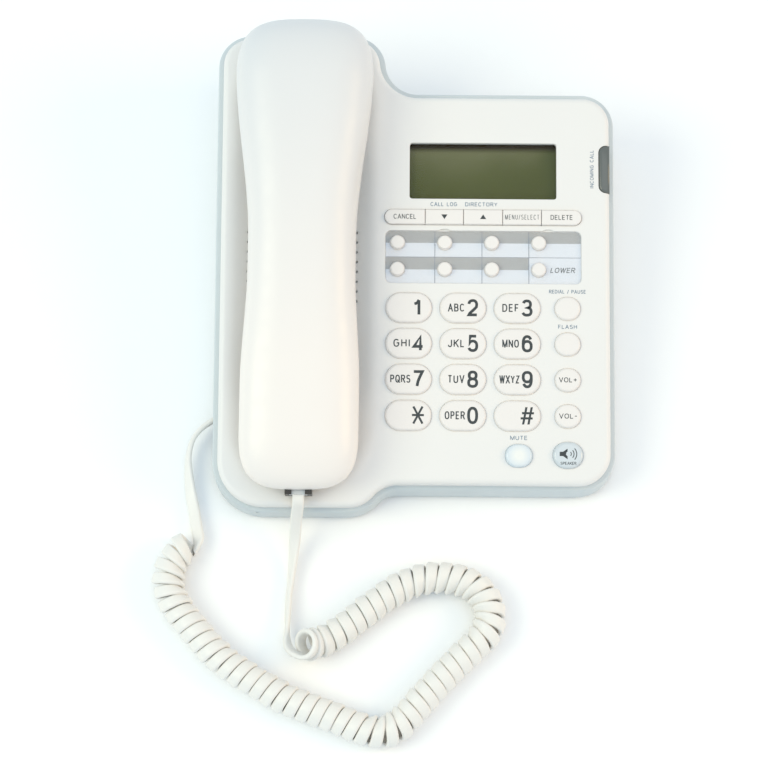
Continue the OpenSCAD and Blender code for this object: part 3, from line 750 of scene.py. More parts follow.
LCD_X, LCD_Y = (-2.5, 60.2), (34.3, 58.7)
NAV_X, NAV_Y, NAV_H = (-13, 4.2, 20.5, 37.2, 53.7, 70.7), 26.2, 6.3
MEMORY_X, MEMORY_Y = (-12.7, 70.7), (-2.4, 20.4)
MEMORY_COLS, MEMORY_ROWS, MEMORY_D = (-7.5, 12.6, 32.6, 52.6), (15.2, 3.7), 5.7
DIAL_COLS, DIAL_ROWS = (-2.6, 20.4, 43.4), (-13.1, -28.4, -43.7, -59.1)
DIAL_W, DIAL_H, PROUD, GAP_W = 19.4, 12.7, 1.2, 0.25
SIDE_KEY_X, SIDE_KEY = 64.7, (10.7, 9.8)
MUTE_AT, MUTE_SIZE = (44, -75.9), (11.1, 9.5)
SPEAKER_AT, SPEAKER_SIZE = (64.7, -75.6), (12.4, 10.9)
LIGHT_X, LIGHT_Y = (78.3, 83.2), (37.3, 57.9)
FILLET = 0.25


def key_holes():
    """The openings through the face: for each, a function of how far it is widened."""
    out = []
    for y in DIAL_ROWS:
        for x in DIAL_COLS:
            out.append(lambda d, x=x, y=y: stadium(x, y, DIAL_W, DIAL_H, GAP_W + d))
        out.append(lambda d, y=y: stadium(SIDE_KEY_X, y, *SIDE_KEY, GAP_W + d))
    out.append(lambda d: stadium(*MUTE_AT, *MUTE_SIZE, GAP_W + d))
    out.append(lambda d: stadium(*SPEAKER_AT, *SPEAKER_SIZE, GAP_W + d))
    nav_mid, nav_w = (NAV_X[0] + NAV_X[-1]) / 2, NAV_X[-1] - NAV_X[0]
    out.append(lambda d: stadium(nav_mid, NAV_Y, nav_w, NAV_H, GAP_W + d))
    out.append(lambda d: rounded(LCD_X, LCD_Y, 1.2, d))
    return out


GRILLE_COLS, GRILLE_ROWS, GRILLE_PITCH, GRILLE_SQUEEZE = 12, 8, 4.25, 0.99
GRILLE_Y, GRILLE_R = 5, 0.6
# The cradle's two slots, for the moving pieces under the handset: y, width and height.
CRADLE_SLOTS = (58, 10, 5), (36, 9, 3)


def grille_holes():
    xs = [HAND_X + (i - (GRILLE_COLS - 1) / 2) * GRILLE_PITCH * GRILLE_SQUEEZE for i in range(GRILLE_COLS)]
    ys = [GRILLE_Y + (j - (GRILLE_ROWS - 1) / 2) * GRILLE_PITCH for j in range(GRILLE_ROWS)]
    return [lambda d, x=x, y=y: circle(x, y, GRILLE_R + d, 16) for x in xs for y in ys]


def slot_hole(y, w, h, d):
    out_x, out_y = w / 2 + GAP_W, h / 2 + GAP_W
    return rounded((HAND_X - out_x, HAND_X + out_x), (y - out_y, y + out_y), 0.6, d)


def slot_holes():
    return [lambda d, size=size: slot_hole(*size, d) for size in CRADLE_SLOTS]


def fillet(f, n=3):
    """(widening, height) down a rounded edge of radius f, from level to upright."""
    return [(f * (1 - math.sin(a)), -f * (1 - math.cos(a))) for a in np.linspace(0, math.pi / 2, n + 1)]


NOTCH_X, NOTCH_W, NOTCH_D = (12.5, 56.6), 4.6, 0.7


def notched(d, depth):
    """The memory panel's outline with two finger notches in its upper edge.

    A negative depth turns the notches outwards."""
    r, (x0, x1), (y0, y1) = 2.5, MEMORY_X, MEMORY_Y
    top = []
    for nx in NOTCH_X[::-1]:
        half = NOTCH_W / 2 - d * (1 if depth > 0 else -1)
        for u in np.linspace(-1, 1, 9):
            top.append((nx - u * half, y1 + d - depth * (1 - u ** 4)))
    return np.concatenate([arc(x1 - r, y0 + r, r + d, -90, 0, 8), arc(x1 - r, y1 - r, r + d, 0, 90, 8), top,
                           arc(x0 + r, y1 - r, r + d, 90, 180, 8), arc(x0 + r, y0 + r, r + d, 180, 270, 8)])


def tray_hole(d):
    return notched(d, -NOTCH_D)


TRAY, SKIRT_EDGE = 1.2, 0.25
shell = Build()
face_edge = [outline(EDGE_R * (1 - math.cos(a))) for a in np.linspace(0, math.pi / 2, 8)]
small = [(h, 0.16) for h in grille_holes()]
large = [(h, FILLET) for h in key_holes() + slot_holes()] + [(tray_hole, FILLET)]
holes = [(h(f), h, f) for h, f in small + large]
hold = [h(f + 0.35) for h, f in large]
grid = np.array([(x + (k % 2) * 0.85, y) for k, y in enumerate(np.arange(-99, 105, 1.5))
                 for x in np.arange(-81, -12, 1.7)])
inner_edge = outline(EDGE_R + 1.0)
grid = grid[inside(grid, inner_edge)]
for loop, h, f in holes:
    wide_loop = h(f + 0.7)
    lo, hi = wide_loop.min(0), wide_loop.max(0)
    near = (grid >= lo).all(1) & (grid <= hi).all(1)
    grid = grid[~(near & inside(grid, wide_loop))]
xy, tris, numbers = triangulate(face_edge[-1], [h[0] for h in holes], [outline(EDGE_R + 0.5), *hold], grid)
level = dish(xy)
top, low = shell.sheet(xy, tris, level, level - ROOF)
loops = [shell.add(with_height(outline(d), z), True) for d, z in
         ((WALL, -SKIRT), (SKIRT_EDGE, -SKIRT), (0, -SKIRT + SKIRT_EDGE))]
for loop, a in zip(face_edge[:-1], np.linspace(0, math.pi / 2, 8)):
    loops.append(shell.add(with_height(loop, EDGE_R * (math.sin(a) - 1) + dish(loop)), True))
loops.append([top[i] for i in numbers[0]])
shell.loft(loops)
shell.strip(loops[0], [low[i] for i in numbers[0]])
for k, (loop, h, f) in enumerate(holes):
    ids = numbers[1 + k]
    ring = [[top[i] for i in ids]]
    bottom = TRAY if h is tray_hole else ROOF
    for wide_by, drop in fillet(f)[1:]:
        at = h(wide_by)
        ring.append(shell.add(with_height(at, drop + dish(at)), True))
    at = h(0)
    ring.append(shell.add(with_height(at, dish(at) - bottom + (0 if h is tray_hole else 0.1)), True))
    if h is tray_hole:
        tray_low = shell.add(with_height(at, -ROOF), True)
        shell.strip(tray_low, [low[i] for i in ids])
    else:
        ring.append([low[i] for i in ids])
    shell.loft(ring)
tray_holes = [circle(x, y, MEMORY_D / 2 + GAP_W, 24) for x in MEMORY_COLS for y in MEMORY_ROWS]
xy, tris, numbers = triangulate(tray_hole(0), tray_holes)
top, low = shell.sheet(xy, tris, -TRAY, -ROOF)
for ids in numbers[1:]:
    shell.strip([top[i] for i in ids], [low[i] for i in ids])
POSTS = [(-75, 85), (76, 61.3), (76.5, -64), (-73, -87.4), (-2, 66)]
# A post reaches from just above the casing's floor into the roof, with a screw hole up its middle.
HOLE_R, HOLE_TOP, POST_R, POST_LOW, POST_EDGE, INTO_ROOF = 1.3, 14, 3.5, 3.9, 0.2, 1.4
for x, y in POSTS:
    roof = face_height(y) - INTO_ROOF / COS
    profile = ((HOLE_R, HOLE_TOP), (HOLE_R, POST_LOW), (POST_R - POST_EDGE, POST_LOW),
               (POST_R, POST_LOW + POST_EDGE), (POST_R, roof))
    ring = [shell.add(with_height(circle(x, y, r, 24), z)) for r, z in profile]
    shell.loft(ring)
    shell.fan(ring[0], shell.add([(x, y, HOLE_TOP)])[0])
    shell.fan(ring[-1], shell.add([(x, y, roof)])[0])
upper = shell.object("upper_shell", SHELL)
lens_cut = Build()


def lens_outline(d, far, n=8):
    """The call light from above: round at its two inner corners, open towards the side."""
    r = LENS_R + d
    x, (y0, y1) = LIGHT_X[0] + LENS_R, LIGHT_Y
    return np.concatenate([arc(x, y0 + LENS_R, r, 180, 270, n), [(far, y0 - d), (far, y1 + d)],
                           arc(x, y1 - LENS_R, r, 90, 180, n)])


LENS_R = 3.1
lens_loop = lens_outline(0.15, 90)
ring = [lens_cut.add(with_height(lens_loop, z), True) for z in (-6, 3)]
lens_cut.stack(ring)
cut(upper, lens_cut.object("lens_cut", SHELL))
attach(upper, "base")
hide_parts("base_top_shell")

# ---------------------------------------------------------------- casing

RIM, RIM_SHIFT, FOOT_H = 2.6, 0.9, 1.5
BOTTOM_ROUND, LEDGE_ROUND = 1.4, 0.7


def casing_loop(d):
    """Outline of the casing in base coordinates, set in by d."""
    out = outline(d - RIM)
    return np.column_stack([out[:, 0], FACE_Y + SKIRT * SIN + (out[:, 1] + RIM_SHIFT) * COS])


def ledge_height(y):
    return face_height(y) - SKIRT / COS


hull = Build()
rings = []
for a in np.linspace(math.pi / 2, 0, 7):
    rings.append(hull.add(with_height(casing_loop(0.03 + BOTTOM_ROUND * (1 - math.cos(a))),
                                      FOOT_H - 0.02 + BOTTOM_ROUND * (1 - math.sin(a)))))
for a in np.linspace(0, math.pi / 2, 6):
    loop = casing_loop(0.03 + LEDGE_ROUND * (1 - math.cos(a)))
    high = ledge_height(loop[:, 1]) - LEDGE_ROUND * (1 - math.sin(a)) + 0.02
    rings.append(hull.add(with_height(loop, high)))
hull.stack(rings)
hull = hull.object("casing_hull", CASING)
casing = copy_of("base_bottom_shell", "lower_casing", CASING)
cut(casing, hull, kind="INTERSECT")
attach(casing, "base")
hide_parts("base_bottom_shell")

# ---------------------------------------------------------------- call light

lens = Build()
ring = [lens.add(with_height(lens_outline(-d, LIGHT_X[1] - 0.2 - d), z), True) for d, z in
        ((0, -6), (0, -0.7), (0.1, -0.25), (0.35, 0.12), (0.8, 0.36), (1.5, 0.5))]
lens.stack(ring)
call_light = lens.object("call_light", LENS, 50)
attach(call_light, "base")
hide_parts("call_light_lens")

# ---------------------------------------------------------------- handset

EAR_W, GRIP_W, MOUTH_W, EAR_TOP, MOUTH_TOP, SPLIT = 58.2, 45.4, 49.8, 30, 24, 12
GRIP_LOW, CUP_LOW, HAND_WALL = 8, -6.4, 2.2
HAND_Y, CAP_Y = (-92.0, 108.4), (-66, 80)
# The handset lies a touch askew in its cradle.
LEAN = (0.3, 0.006)


def ease(a, b, y):
    t = max(0, min(1, (y - a) / (b - a)))
    return t * t * (3 - 2 * t)


def half_width(y):
    return GRIP_W / 2 + (EAR_W - GRIP_W) / 2 * ease(14, 88, y) + (MOUTH_W - GRIP_W) / 2 * ease(0, -48, y)


def back_height(y):
    return MOUTH_TOP + (EAR_TOP - MOUTH_TOP) * ease(-110, 90, y)


def front_height(y):
    return GRIP_LOW + (CUP_LOW - GRIP_LOW) * (ease(44, 62, y) + ease(-42, -60, y))


def end_cap(y, d, p, least=0.08):
    if y > CAP_Y[1]:
        u = (y - CAP_Y[1]) / (HAND_Y[1] - d - CAP_Y[1])
    elif y < CAP_Y[0]:
        u = (CAP_Y[0] - y) / (CAP_Y[0] - HAND_Y[0] - d)
    else:
        u = 0
    return max(least, (1 - min(u, 1) ** p) ** (1 / p))


def half_ring(y, d, side, n, seam):
    """One arch of a shell from rim to rim, with a small round at the seam."""
    w = (half_width(y) - d) * end_cap(y, d, 3.2)
    if side > 0:
        deep = (back_height(y) - d - SPLIT) * end_cap(y, d, 2.4)
    else:
        deep = (SPLIT - front_height(y) - d) * end_cap(y, d, 1.7)
    a = np.linspace(0, math.pi, n + 1)
    a = a - 0.10 * np.sin(2 * a)
    c, s = np.cos(a), np.sin(a)
    x = w * np.sign(c) * np.abs(c) ** 0.77
    z = SPLIT + side * deep * np.abs(s) ** 0.77
    x[0], x[-1] = w, -w
    z[0], z[-1] = SPLIT, SPLIT
    if seam:
        # the rim is drawn in over the last bit of height
        near = np.clip(1 - np.abs(z - SPLIT) / seam, 0, 1)
        x = x - np.sign(x) * seam * (1 - np.sqrt(np.maximum(1 - near ** 2, 0)))
    return np.column_stack([HAND_X + LEAN[0] + LEAN[1] * y + x, np.full(len(x), y), z])


def hand_shell(name, side, rings=120, n=72):
    b = Build()
    skins = []
    for d, seam in ((0, 0.35), (HAND_WALL, 0)):
        t = np.linspace(0, 1, rings + 1)
        first = HAND_Y[0] + d
        last = HAND_Y[1] - d
        y = (first + last) / 2 - (last - first) / 2 * np.cos(math.pi * t)
        loops = [b.add(half_ring(v, d, side, n, seam), True) for v in y]
        b.loft(loops, closed=False)
        for loop in (loops[0], loops[-1]):
            b.faces.append(tuple(loop))
        skins.append(loops)
    outer, inner = skins
    for end in (0, -1):
        b.strip([r[end] for r in outer], [r[end] for r in inner], closed=False)
    for k in (0, -1):
        b.faces.append((outer[k][0], outer[k][-1], inner[k][-1], inner[k][0]))
    return b.object(name, HANDSET, 50)


def prism(name, loop, low, high):
    b = Build()
    ring = [b.add(with_height(loop, z), True) for z in (low, high)]
    b.stack(ring)
    return b.object(name, DARK)


hand_back = hand_shell("handset_back", 1)
hand_front = hand_shell("handset_front", -1)
cutters = [prism("c_jack", rounded((HAND_X - 5.6, HAND_X + 5.6), (-100, -78), 0.8), 3.4, SPLIT + 1)]
# Six ear holes in a ring and one in its middle, then the mouth holes in a row.
EAR_Y, EAR_RING, EAR_HOLE_R, MOUTH_Y, MOUTH_STEP, MOUTH_HOLE_R = 74, 6, 1.0, -70, 3, 0.7
ear_holes = [(EAR_RING * math.cos(a), EAR_RING * math.sin(a)) for a in np.radians(range(0, 360, 60))]
for x, y in [*ear_holes, (0, 0)]:
    cutters.append(prism("c_ear", circle(HAND_X + x, EAR_Y + y, EAR_HOLE_R, 20), -12, 0))
for x in (-MOUTH_STEP, 0, MOUTH_STEP):
    cutters.append(prism("c_mic", circle(HAND_X + x, MOUTH_Y, MOUTH_HOLE_R, 16), -12, 0))
cut(hand_front, *cutters)
for obj, node in ((hand_back, "handset_back_shell"), (hand_front, "handset_front_shell")):
    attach(obj, "handset")
    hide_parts(node)

# The jack's mouth is open on top, so the cord shows right up to the handset's edge.
jack = copy_of("handset_jack", "handset_jack_housing", DARK)
MOUTH_HALF, MOUTH_BACK, MOUTH_LOW, JACK_FRONT = 2.8, -91.4, 6, -93.9
JACK_CLEAR, JACK_HALF, JACK_TOP, JACK_R = -97, 8, 13, 0.3
mouth = rounded((HAND_X - MOUTH_HALF, HAND_X + MOUTH_HALF), (JACK_CLEAR, MOUTH_BACK), JACK_R)
front = rounded((HAND_X - JACK_HALF, HAND_X + JACK_HALF), (JACK_CLEAR, JACK_FRONT), JACK_R)
cut(jack, prism("jack_mouth", mouth, MOUTH_LOW, JACK_TOP), prism("jack_front", front, 0, JACK_TOP))
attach(jack, "handset")
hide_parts("handset_jack")

# ---------------------------------------------------------------- keys

FLANGE_LOW, FLANGE_HIGH, FLANGE_IN, FLANGE_OUT = -4.2, -2.8, 1.2, 0.8


def key_top(x, y, w, h, dome):
    """Height of a key's crown over its middle."""
    return PROUD + dome * (1 - (2 * x / w) ** 2 * 0.5 - (2 * y / h) ** 2 * 0.5)


def key_cap(name, shape, middle, size, material, dome=0.22, edge=0.95, slot="key_caps", sink=0.0, skirt=0.22,
            skirt_top=-0.22):
    """A key: flange, upright side, rounded edge and crowned top. shape(d) is its outline widened by d."""
    b = Build()
    profile = ((-FLANGE_IN, FLANGE_LOW), (FLANGE_OUT, FLANGE_LOW), (FLANGE_OUT, FLANGE_HIGH),
               (skirt, FLANGE_HIGH), (skirt, skirt_top), (0, skirt_top))
    loops = [b.add(with_height(shape(d), z), True) for d, z in profile]

    def crown(d):
        at = shape(d)
        return key_top(at[:, 0] - middle[0], at[:, 1] - middle[1], *size, dome) - sink

    for a in np.linspace(0, math.pi / 2, 7):
        d = -edge * (1 - math.cos(a))
        at = shape(d)
        loops.append(b.add(with_height(at, crown(-edge) - edge + edge * math.sin(a)), True))
    b.loft(loops)
    b.faces.append(tuple(loops[0][::-1]))
    rim = shape(-edge)
    lo, hi = rim.min(0), rim.max(0)
    inner = shape(-edge - 0.35)
    grid = np.array([(x, y) for x in np.arange(lo[0], hi[0], 0.9) for y in np.arange(lo[1], hi[1], 0.9)])
    xy, tris, numbers = triangulate(rim, [], [], grid[inside(grid, inner)])
    z = key_top(xy[:, 0] - middle[0], xy[:, 1] - middle[1], *size, dome) - sink
    inner_ids = b.add(with_height(xy, z), True)
    b.faces += [tuple(inner_ids[i] for i in t) for t in tris]
    obj = b.object(name + "_cap", material, 50)
    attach(obj, name)
    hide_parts(name)
    return obj


def pill_key(name, x, y, w, h, material, **more):
    return key_cap(name, lambda d: stadium(x, y, w, h, d, 20), (x, y), (w, h), material, **more)


DIAL_NAMES = [f"key_{n}" for n in (*range(1, 10), "star", 0, "pound")]
for i, name in enumerate(DIAL_NAMES):
    pill_key(name, DIAL_COLS[i % 3], DIAL_ROWS[i // 3], DIAL_W, DIAL_H, KEY)
for name, y in zip(("key_redial", "key_flash", "key_volume_up", "key_volume_down"), DIAL_ROWS):
    pill_key(name, SIDE_KEY_X, y, *SIDE_KEY, KEY)
pill_key("key_mute", *MUTE_AT, *MUTE_SIZE, MUTE, dome=0.7, edge=1.0, slot="tinted_keys", skirt_top=-0.08)
pill_key("key_speaker", *SPEAKER_AT, *SPEAKER_SIZE, TINTED, dome=0.6, edge=1.2, slot="tinted_keys",
         skirt_top=-0.12)
for i in range(7):
    x, y = MEMORY_COLS[i % 4], MEMORY_ROWS[i // 4]
    pill_key(f"key_memory_{i + 1}", x, y, MEMORY_D, MEMORY_D, KEY, dome=0.25, edge=0.5)
pill_key("key_lower", MEMORY_COLS[3], MEMORY_ROWS[1], MEMORY_D, MEMORY_D, KEY, dome=0.25, edge=0.5)


def nav_shape(i):
    x0 = NAV_X[i] + (0 if i == 0 else 0.14)
    x1 = NAV_X[i + 1] - (0 if i == 4 else 0.14)
    r, y0, y1 = NAV_H / 2, NAV_Y - NAV_H / 2, NAV_Y + NAV_H / 2

    def shape(d):
        out = []
        corners = ((x1, y0, i == 4, -90), (x1, y1, i == 4, 0), (x0, y1, i == 0, 90), (x0, y0, i == 0, 180))
        for cx, cy, big, a in corners:
            rr = r if big else 0.3
            sx, sy = (-1 if cx == x1 else 1), (1 if cy == y0 else -1)
            out.append(arc(cx + sx * rr, cy + sy * rr, max(rr + d, 0.02), a, a + 90, 10))
            if rr + d < 0.02:
                out[-1] = out[-1] - np.array([sx, sy]) * (rr + d - 0.02)
        return np.concatenate(out)
    return shape, ((x0 + x1) / 2, NAV_Y), (x1 - x0, NAV_H)


for i, name in enumerate(("key_cancel", "key_down", "key_up", "key_menu", "key_delete")):
    shape, middle, size = nav_shape(i)
    key_cap(name, shape, middle, size, KEY, dome=0.1, edge=0.45, skirt=0.12, skirt_top=-0.1)

# ---------------------------------------------------------------- lettering


# How square the ovals of the print are: 1 is a plain oval.
SQUARE = 0.84


def bow(cx, cy, rx, ry, a, b, n=14):
    """Part of an oval with flat sides, from angle a to angle b."""
    t = np.radians(np.linspace(a, b, n + 1))
    c, sn = np.cos(t), np.sin(t)
    return [(cx + rx * np.sign(u) * abs(u) ** SQUARE, cy + ry * np.sign(v) * abs(v) ** SQUARE)
            for u, v in zip(c, sn)]


OVAL = bow(0.5, 0.5, 0.5, 0.5, 90, 450, 28)
SIX = [bow(0.5, 0.33, 0.5, 0.33, 90, 450, 24), bow(0.5, 0.5, 0.5, 0.5, 32, 190)]
# Each sign is a width, as a share of its height, and lines in a box that is one wide and one high.
SIGNS = {
    "A": (0.66, [[(0, 0), (0.5, 1)], [(0.5, 1), (1, 0)], [(0.17, 0.33), (0.83, 0.33)]]),
    "B": (0.56, [[(0, 0.52), (0, 1), (0.5, 1), *bow(0.5, 0.76, 0.42, 0.24, 90, -90), (0, 0.52)],
                 [(0, 0.52), *bow(0.5, 0.26, 0.5, 0.26, 90, -90), (0, 0), (0, 0.52)]]),
    "C": (0.62, [bow(0.5, 0.5, 0.5, 0.5, 38, 322, 24)]),
    "D": (0.6, [[(0, 0), (0, 1), *bow(0.42, 0.5, 0.58, 0.5, 90, -90, 20), (0, 0)]]),
    "E": (0.5, [[(1, 1), (0, 1), (0, 0), (1, 0)], [(0, 0.52), (0.9, 0.52)]]),
    "F": (0.48, [[(1, 1), (0, 1), (0, 0)], [(0, 0.5), (0.88, 0.5)]]),
    "G": (0.66, [[*bow(0.5, 0.5, 0.5, 0.5, 42, 350, 26), (1, 0.5), (0.56, 0.5)]]),
    "H": (0.6, [[(0, 0), (0, 1)], [(1, 0), (1, 1)], [(0, 0.52), (1, 0.52)]]),
    "I": (0.04, [[(0.5, 0), (0.5, 1)]]),
    "J": (0.46, [[(1, 1), (1, 0.32), *bow(0.5, 0.32, 0.5, 0.32, 0, -172)[1:]]]),
    "K": (0.58, [[(0, 0), (0, 1)], [(1, 1), (0, 0.36)], [(0.36, 0.6), (1, 0)]]),
    "L": (0.46, [[(0, 1), (0, 0), (1, 0)]]),
    "M": (0.74, [[(0, 0), (0, 1)], [(0, 1), (0.5, 0)], [(0.5, 0), (1, 1)], [(1, 1), (1, 0)]]),
    "N": (0.6, [[(0, 0), (0, 1)], [(0, 1), (1, 0)], [(1, 0), (1, 1)]]),
    "O": (0.66, [OVAL]),
    "P": (0.54, [[(0, 0), (0, 1), *bow(0.5, 0.74, 0.5, 0.26, 90, -90), (0, 0.48)]]),
    "Q": (0.66, [OVAL, [(0.6, 0.28), (1.02, -0.04)]]),
    "R": (0.58, [[(0, 0), (0, 1), *bow(0.5, 0.75, 0.48, 0.25, 90, -90), (0, 0.5)], [(0.52, 0.5), (1, 0)]]),
    "S": (0.56, [[*bow(0.5, 0.76, 0.45, 0.24, 28, 270), *bow(0.5, 0.26, 0.5, 0.26, 90, -156)[1:]]]),
    "T": (0.54, [[(0, 1), (1, 1)], [(0.5, 1), (0.5, 0)]]),
    "U": (0.6, [[(0, 1), (0, 0.36), *bow(0.5, 0.36, 0.5, 0.36, 180, 360)[1:], (1, 1)]]),
    "V": (0.62, [[(0, 1), (0.5, 0)], [(0.5, 0), (1, 1)]]),
    "W": (0.9, [[(0, 1), (0.25, 0)], [(0.25, 0), (0.5, 1)], [(0.5, 1), (0.75, 0)], [(0.75, 0), (1, 1)]]),
    "X": (0.6, [[(0, 0), (1, 1)], [(0, 1), (1, 0)]]),
    "Y": (0.6, [[(0, 1), (0.5, 0.44), (1, 1)], [(0.5, 0.44), (0.5, 0)]]),
    "Z": (0.56, [[(0, 1), (1, 1), (0, 0), (1, 0)]]),
    "0": (0.6, [OVAL]),
    "1": (0.36, [[(0, 0.74), (0.42, 0.78), (0.72, 0.86), (1, 1.02)], [(1, 1), (1, 0)]]),
    "2": (0.62, [[*bow(0.5, 0.7, 0.48, 0.3, 172, -28), (0.62, 0.36), (0.14, 0.12), (0.02, 0), (1, 0)]]),
    "3": (0.62, [[*bow(0.48, 0.755, 0.44, 0.245, 165, -90), *bow(0.48, 0.26, 0.52, 0.26, 90, -165)[1:]]]),
    "4": (0.64, [[(0.74, 0), (0.74, 1), (0, 0.26), (1, 0.26)]]),
    "5": (0.62, [[(0.92, 1), (0.2, 1), (0.08, 0.47), *bow(0.5, 0.33, 0.5, 0.33, 128, -158, 22)]]),
    "6": (0.62, SIX),
    "7": (0.6, [[(0, 1), (1, 1), (0.72, 0.66), (0.5, 0.34), (0.38, 0)]]),
    "8": (0.62, [bow(0.5, 0.76, 0.43, 0.24, 90, 450, 24), bow(0.5, 0.26, 0.5, 0.26, 90, 450, 24)]),
    "9": (0.62, [[(1 - x, 1 - y) for x, y in line] for line in SIX]),
    "#": (0.82, [[(0.2, 0), (0.42, 1)], [(0.6, 0), (0.82, 1)], [(0.1, 0.67), (1, 0.67)],
                 [(0, 0.33), (0.9, 0.33)]]),
    "+": (0.56, [[(0.5, 0.16), (0.5, 0.84)], [(0, 0.5), (1, 0.5)]]),
    "-": (0.36, [[(0, 0.5), (1, 0.5)]]),
    "/": (0.32, [[(0, -0.04), (1, 1.04)]]),
    " ": (0.3, []),
}


def stroke(points, thick, closed=False):
    """Left and right edges of a line of even thickness, with mitred corners."""
    p = np.asarray(points, float)
    keep = np.concatenate([[True], np.linalg.norm(np.diff(p, axis=0), axis=1) > 1e-4])
    p = p[keep]
    if closed and np.linalg.norm(p[0] - p[-1]) < 1e-4:
        p = p[:-1]
    before = p - np.roll(p, 1, 0)
    after = np.roll(p, -1, 0) - p
    if not closed:
        before[0], after[-1] = after[0], before[-1]
    n0 = unit(np.column_stack([-before[:, 1], before[:, 0]]))
    n1 = unit(np.column_stack([-after[:, 1], after[:, 0]]))
    m = unit(n0 + n1)
    reach = np.minimum(1 / np.maximum((m * n0).sum(1), 0.1), 2.2)
    side = m * (reach * thick / 2)[:, None]
    return p + side, p - side


def slanted(line, thick):
    """A sloping stroke with level ends, reaching half its thickness past both of them."""
    (x0, y0), (x1, y1) = line
    lean = (x1 - x0) / (y1 - y0)
    half = thick / 2 * math.sqrt(1 + lean * lean)
    way = math.copysign(thick / 2, y1 - y0)
    ends = np.array([(x0 - way * lean, y0 - way), (x1 + way * lean, y1 + way)])
    return ends - (half, 0), ends + (half, 0)


def letters(name, text, at, height, body, material=None, width=None, weight=0.14, slant=0.0, turn=0.0,
            surface=None, thick=0.04, gap=0.3):
    """Print in plain strokes: capitals height mm tall, their middle at (x, y) on the face. weight and gap are
    shares of the height; surface(x, y) is what the print lies on."""
    t = weight * height
    parts, x = [], 0.0
    for ch in text:
        w, lines = SIGNS[ch]
        parts.append((x, w, lines))
        x += w + gap
    total = x - gap
    k = ((width - t) / total) if width else (height - t)
    b = Build()
    count = 0
    for x0, w, lines in parts:
        for points in lines:
            points = np.asarray(points, float)
            xy = np.column_stack([(x0 + points[:, 0] * w) * k + t / 2, points[:, 1] * (height - t) + t / 2])
            closed = len(points) > 3 and np.linalg.norm(points[0] - points[-1]) < 1e-3
            run, rise = xy[-1] - xy[0]
            if len(xy) == 2 and abs(run) > 1e-6 and abs(rise) > 1e-6:
                edges = slanted(xy, t)
            else:
                edges = stroke(xy, t, closed)
            made = []
            for e in edges:
                e = np.column_stack([e[:, 0], np.clip(e[:, 1], 0, height)])
                e = e - ((total * k + t) / 2, height / 2)
                e = np.column_stack([e[:, 0] + slant * e[:, 1], e[:, 1]])
                if turn:
                    c, sn = math.cos(turn), math.sin(turn)
                    e = np.column_stack([e[:, 0] * c - e[:, 1] * sn, e[:, 0] * sn + e[:, 1] * c])
                e = e + np.asarray(at, float)
                z = surface(e[:, 0], e[:, 1]) if surface else np.zeros(len(e))
                made.append((b.add(np.column_stack([e, z + thick + 0.002 * (count % 3)]), True),
                             b.add(np.column_stack([e, z - 0.1]), True)))
            (lt, lb), (rt, rb) = made
            b.loft([lb, lt, rt, rb, lb], closed=closed)
            if not closed:
                b.faces += [(lt[0], lb[0], rb[0], rt[0]), (lt[-1], rt[-1], rb[-1], lb[-1])]
            count += 1
    obj = b.object(name, material or INK, 30)
    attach(obj, body)
    return obj


def on_key(x, y, w, h, dome=0.22):
    return lambda px, py: key_top(px - x, py - y, w, h, dome)


DIAL_TEXT = [("1", ""), ("2", "ABC"), ("3", "DEF"), ("4", "GHI"), ("5", "JKL"), ("6", "MNO"), ("7", "PQRS"),
             ("8", "TUV"), ("9", "WXYZ"), ("*", ""), ("0", "OPER"), ("#", "")]
# Digits stand right of a key's middle; a few are wider or narrower than the rest.
DIGIT_X, ONE_X, DIGIT_H, GROUP_H = 4.1, 3.35, 7.35, 3.4
DIGIT_W = {"1": 3.1, "#": 6.5, "4": 4.9, "7": 4.8}
for i, (name, (digit, group)) in enumerate(zip(DIAL_NAMES, DIAL_TEXT)):
    x, y = DIAL_COLS[i % 3], DIAL_ROWS[i // 3]
    top = on_key(x, y, DIAL_W, DIAL_H)
    if digit == "*":
        star = Build()
        for k, (a, half) in enumerate(((0, 2.5), (62, 4.1), (118, 4.1))):
            a = math.radians(a)
            d, n2 = np.array([math.cos(a), math.sin(a)]), np.array([-math.sin(a), math.cos(a)])
            loop = np.array([(x + 4.1, y)]) + np.array([half * d + 0.45 * n2, -half * d + 0.45 * n2,
                                                       -half * d - 0.45 * n2, half * d - 0.45 * n2])
            lift = 0.04 + 0.003 * k
            level = top(loop[:, 0], loop[:, 1])
            ring = [star.add(with_height(loop, level + v), True) for v in (-0.1, lift)]
            star.stack(ring)
        star = star.object("print_star", INK, 30)
        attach(star, name)
    else:
        letters("print_" + name[4:], digit, (x + (ONE_X if digit == "1" else DIGIT_X), y), DIGIT_H, name,
                surface=top, weight=0.125 if digit == "#" else 0.162, width=DIGIT_W.get(digit, 4.6))
    if group:
        x_at, width = (x - 2.9, 7.0) if len(group) == 3 else (x - 2.9 - 0.5, 8.5)
        letters("print_" + name[4:] + "_letters", group, (x_at, y), GROUP_H, name, surface=top, weight=0.145,
                width=width, gap=0.42)
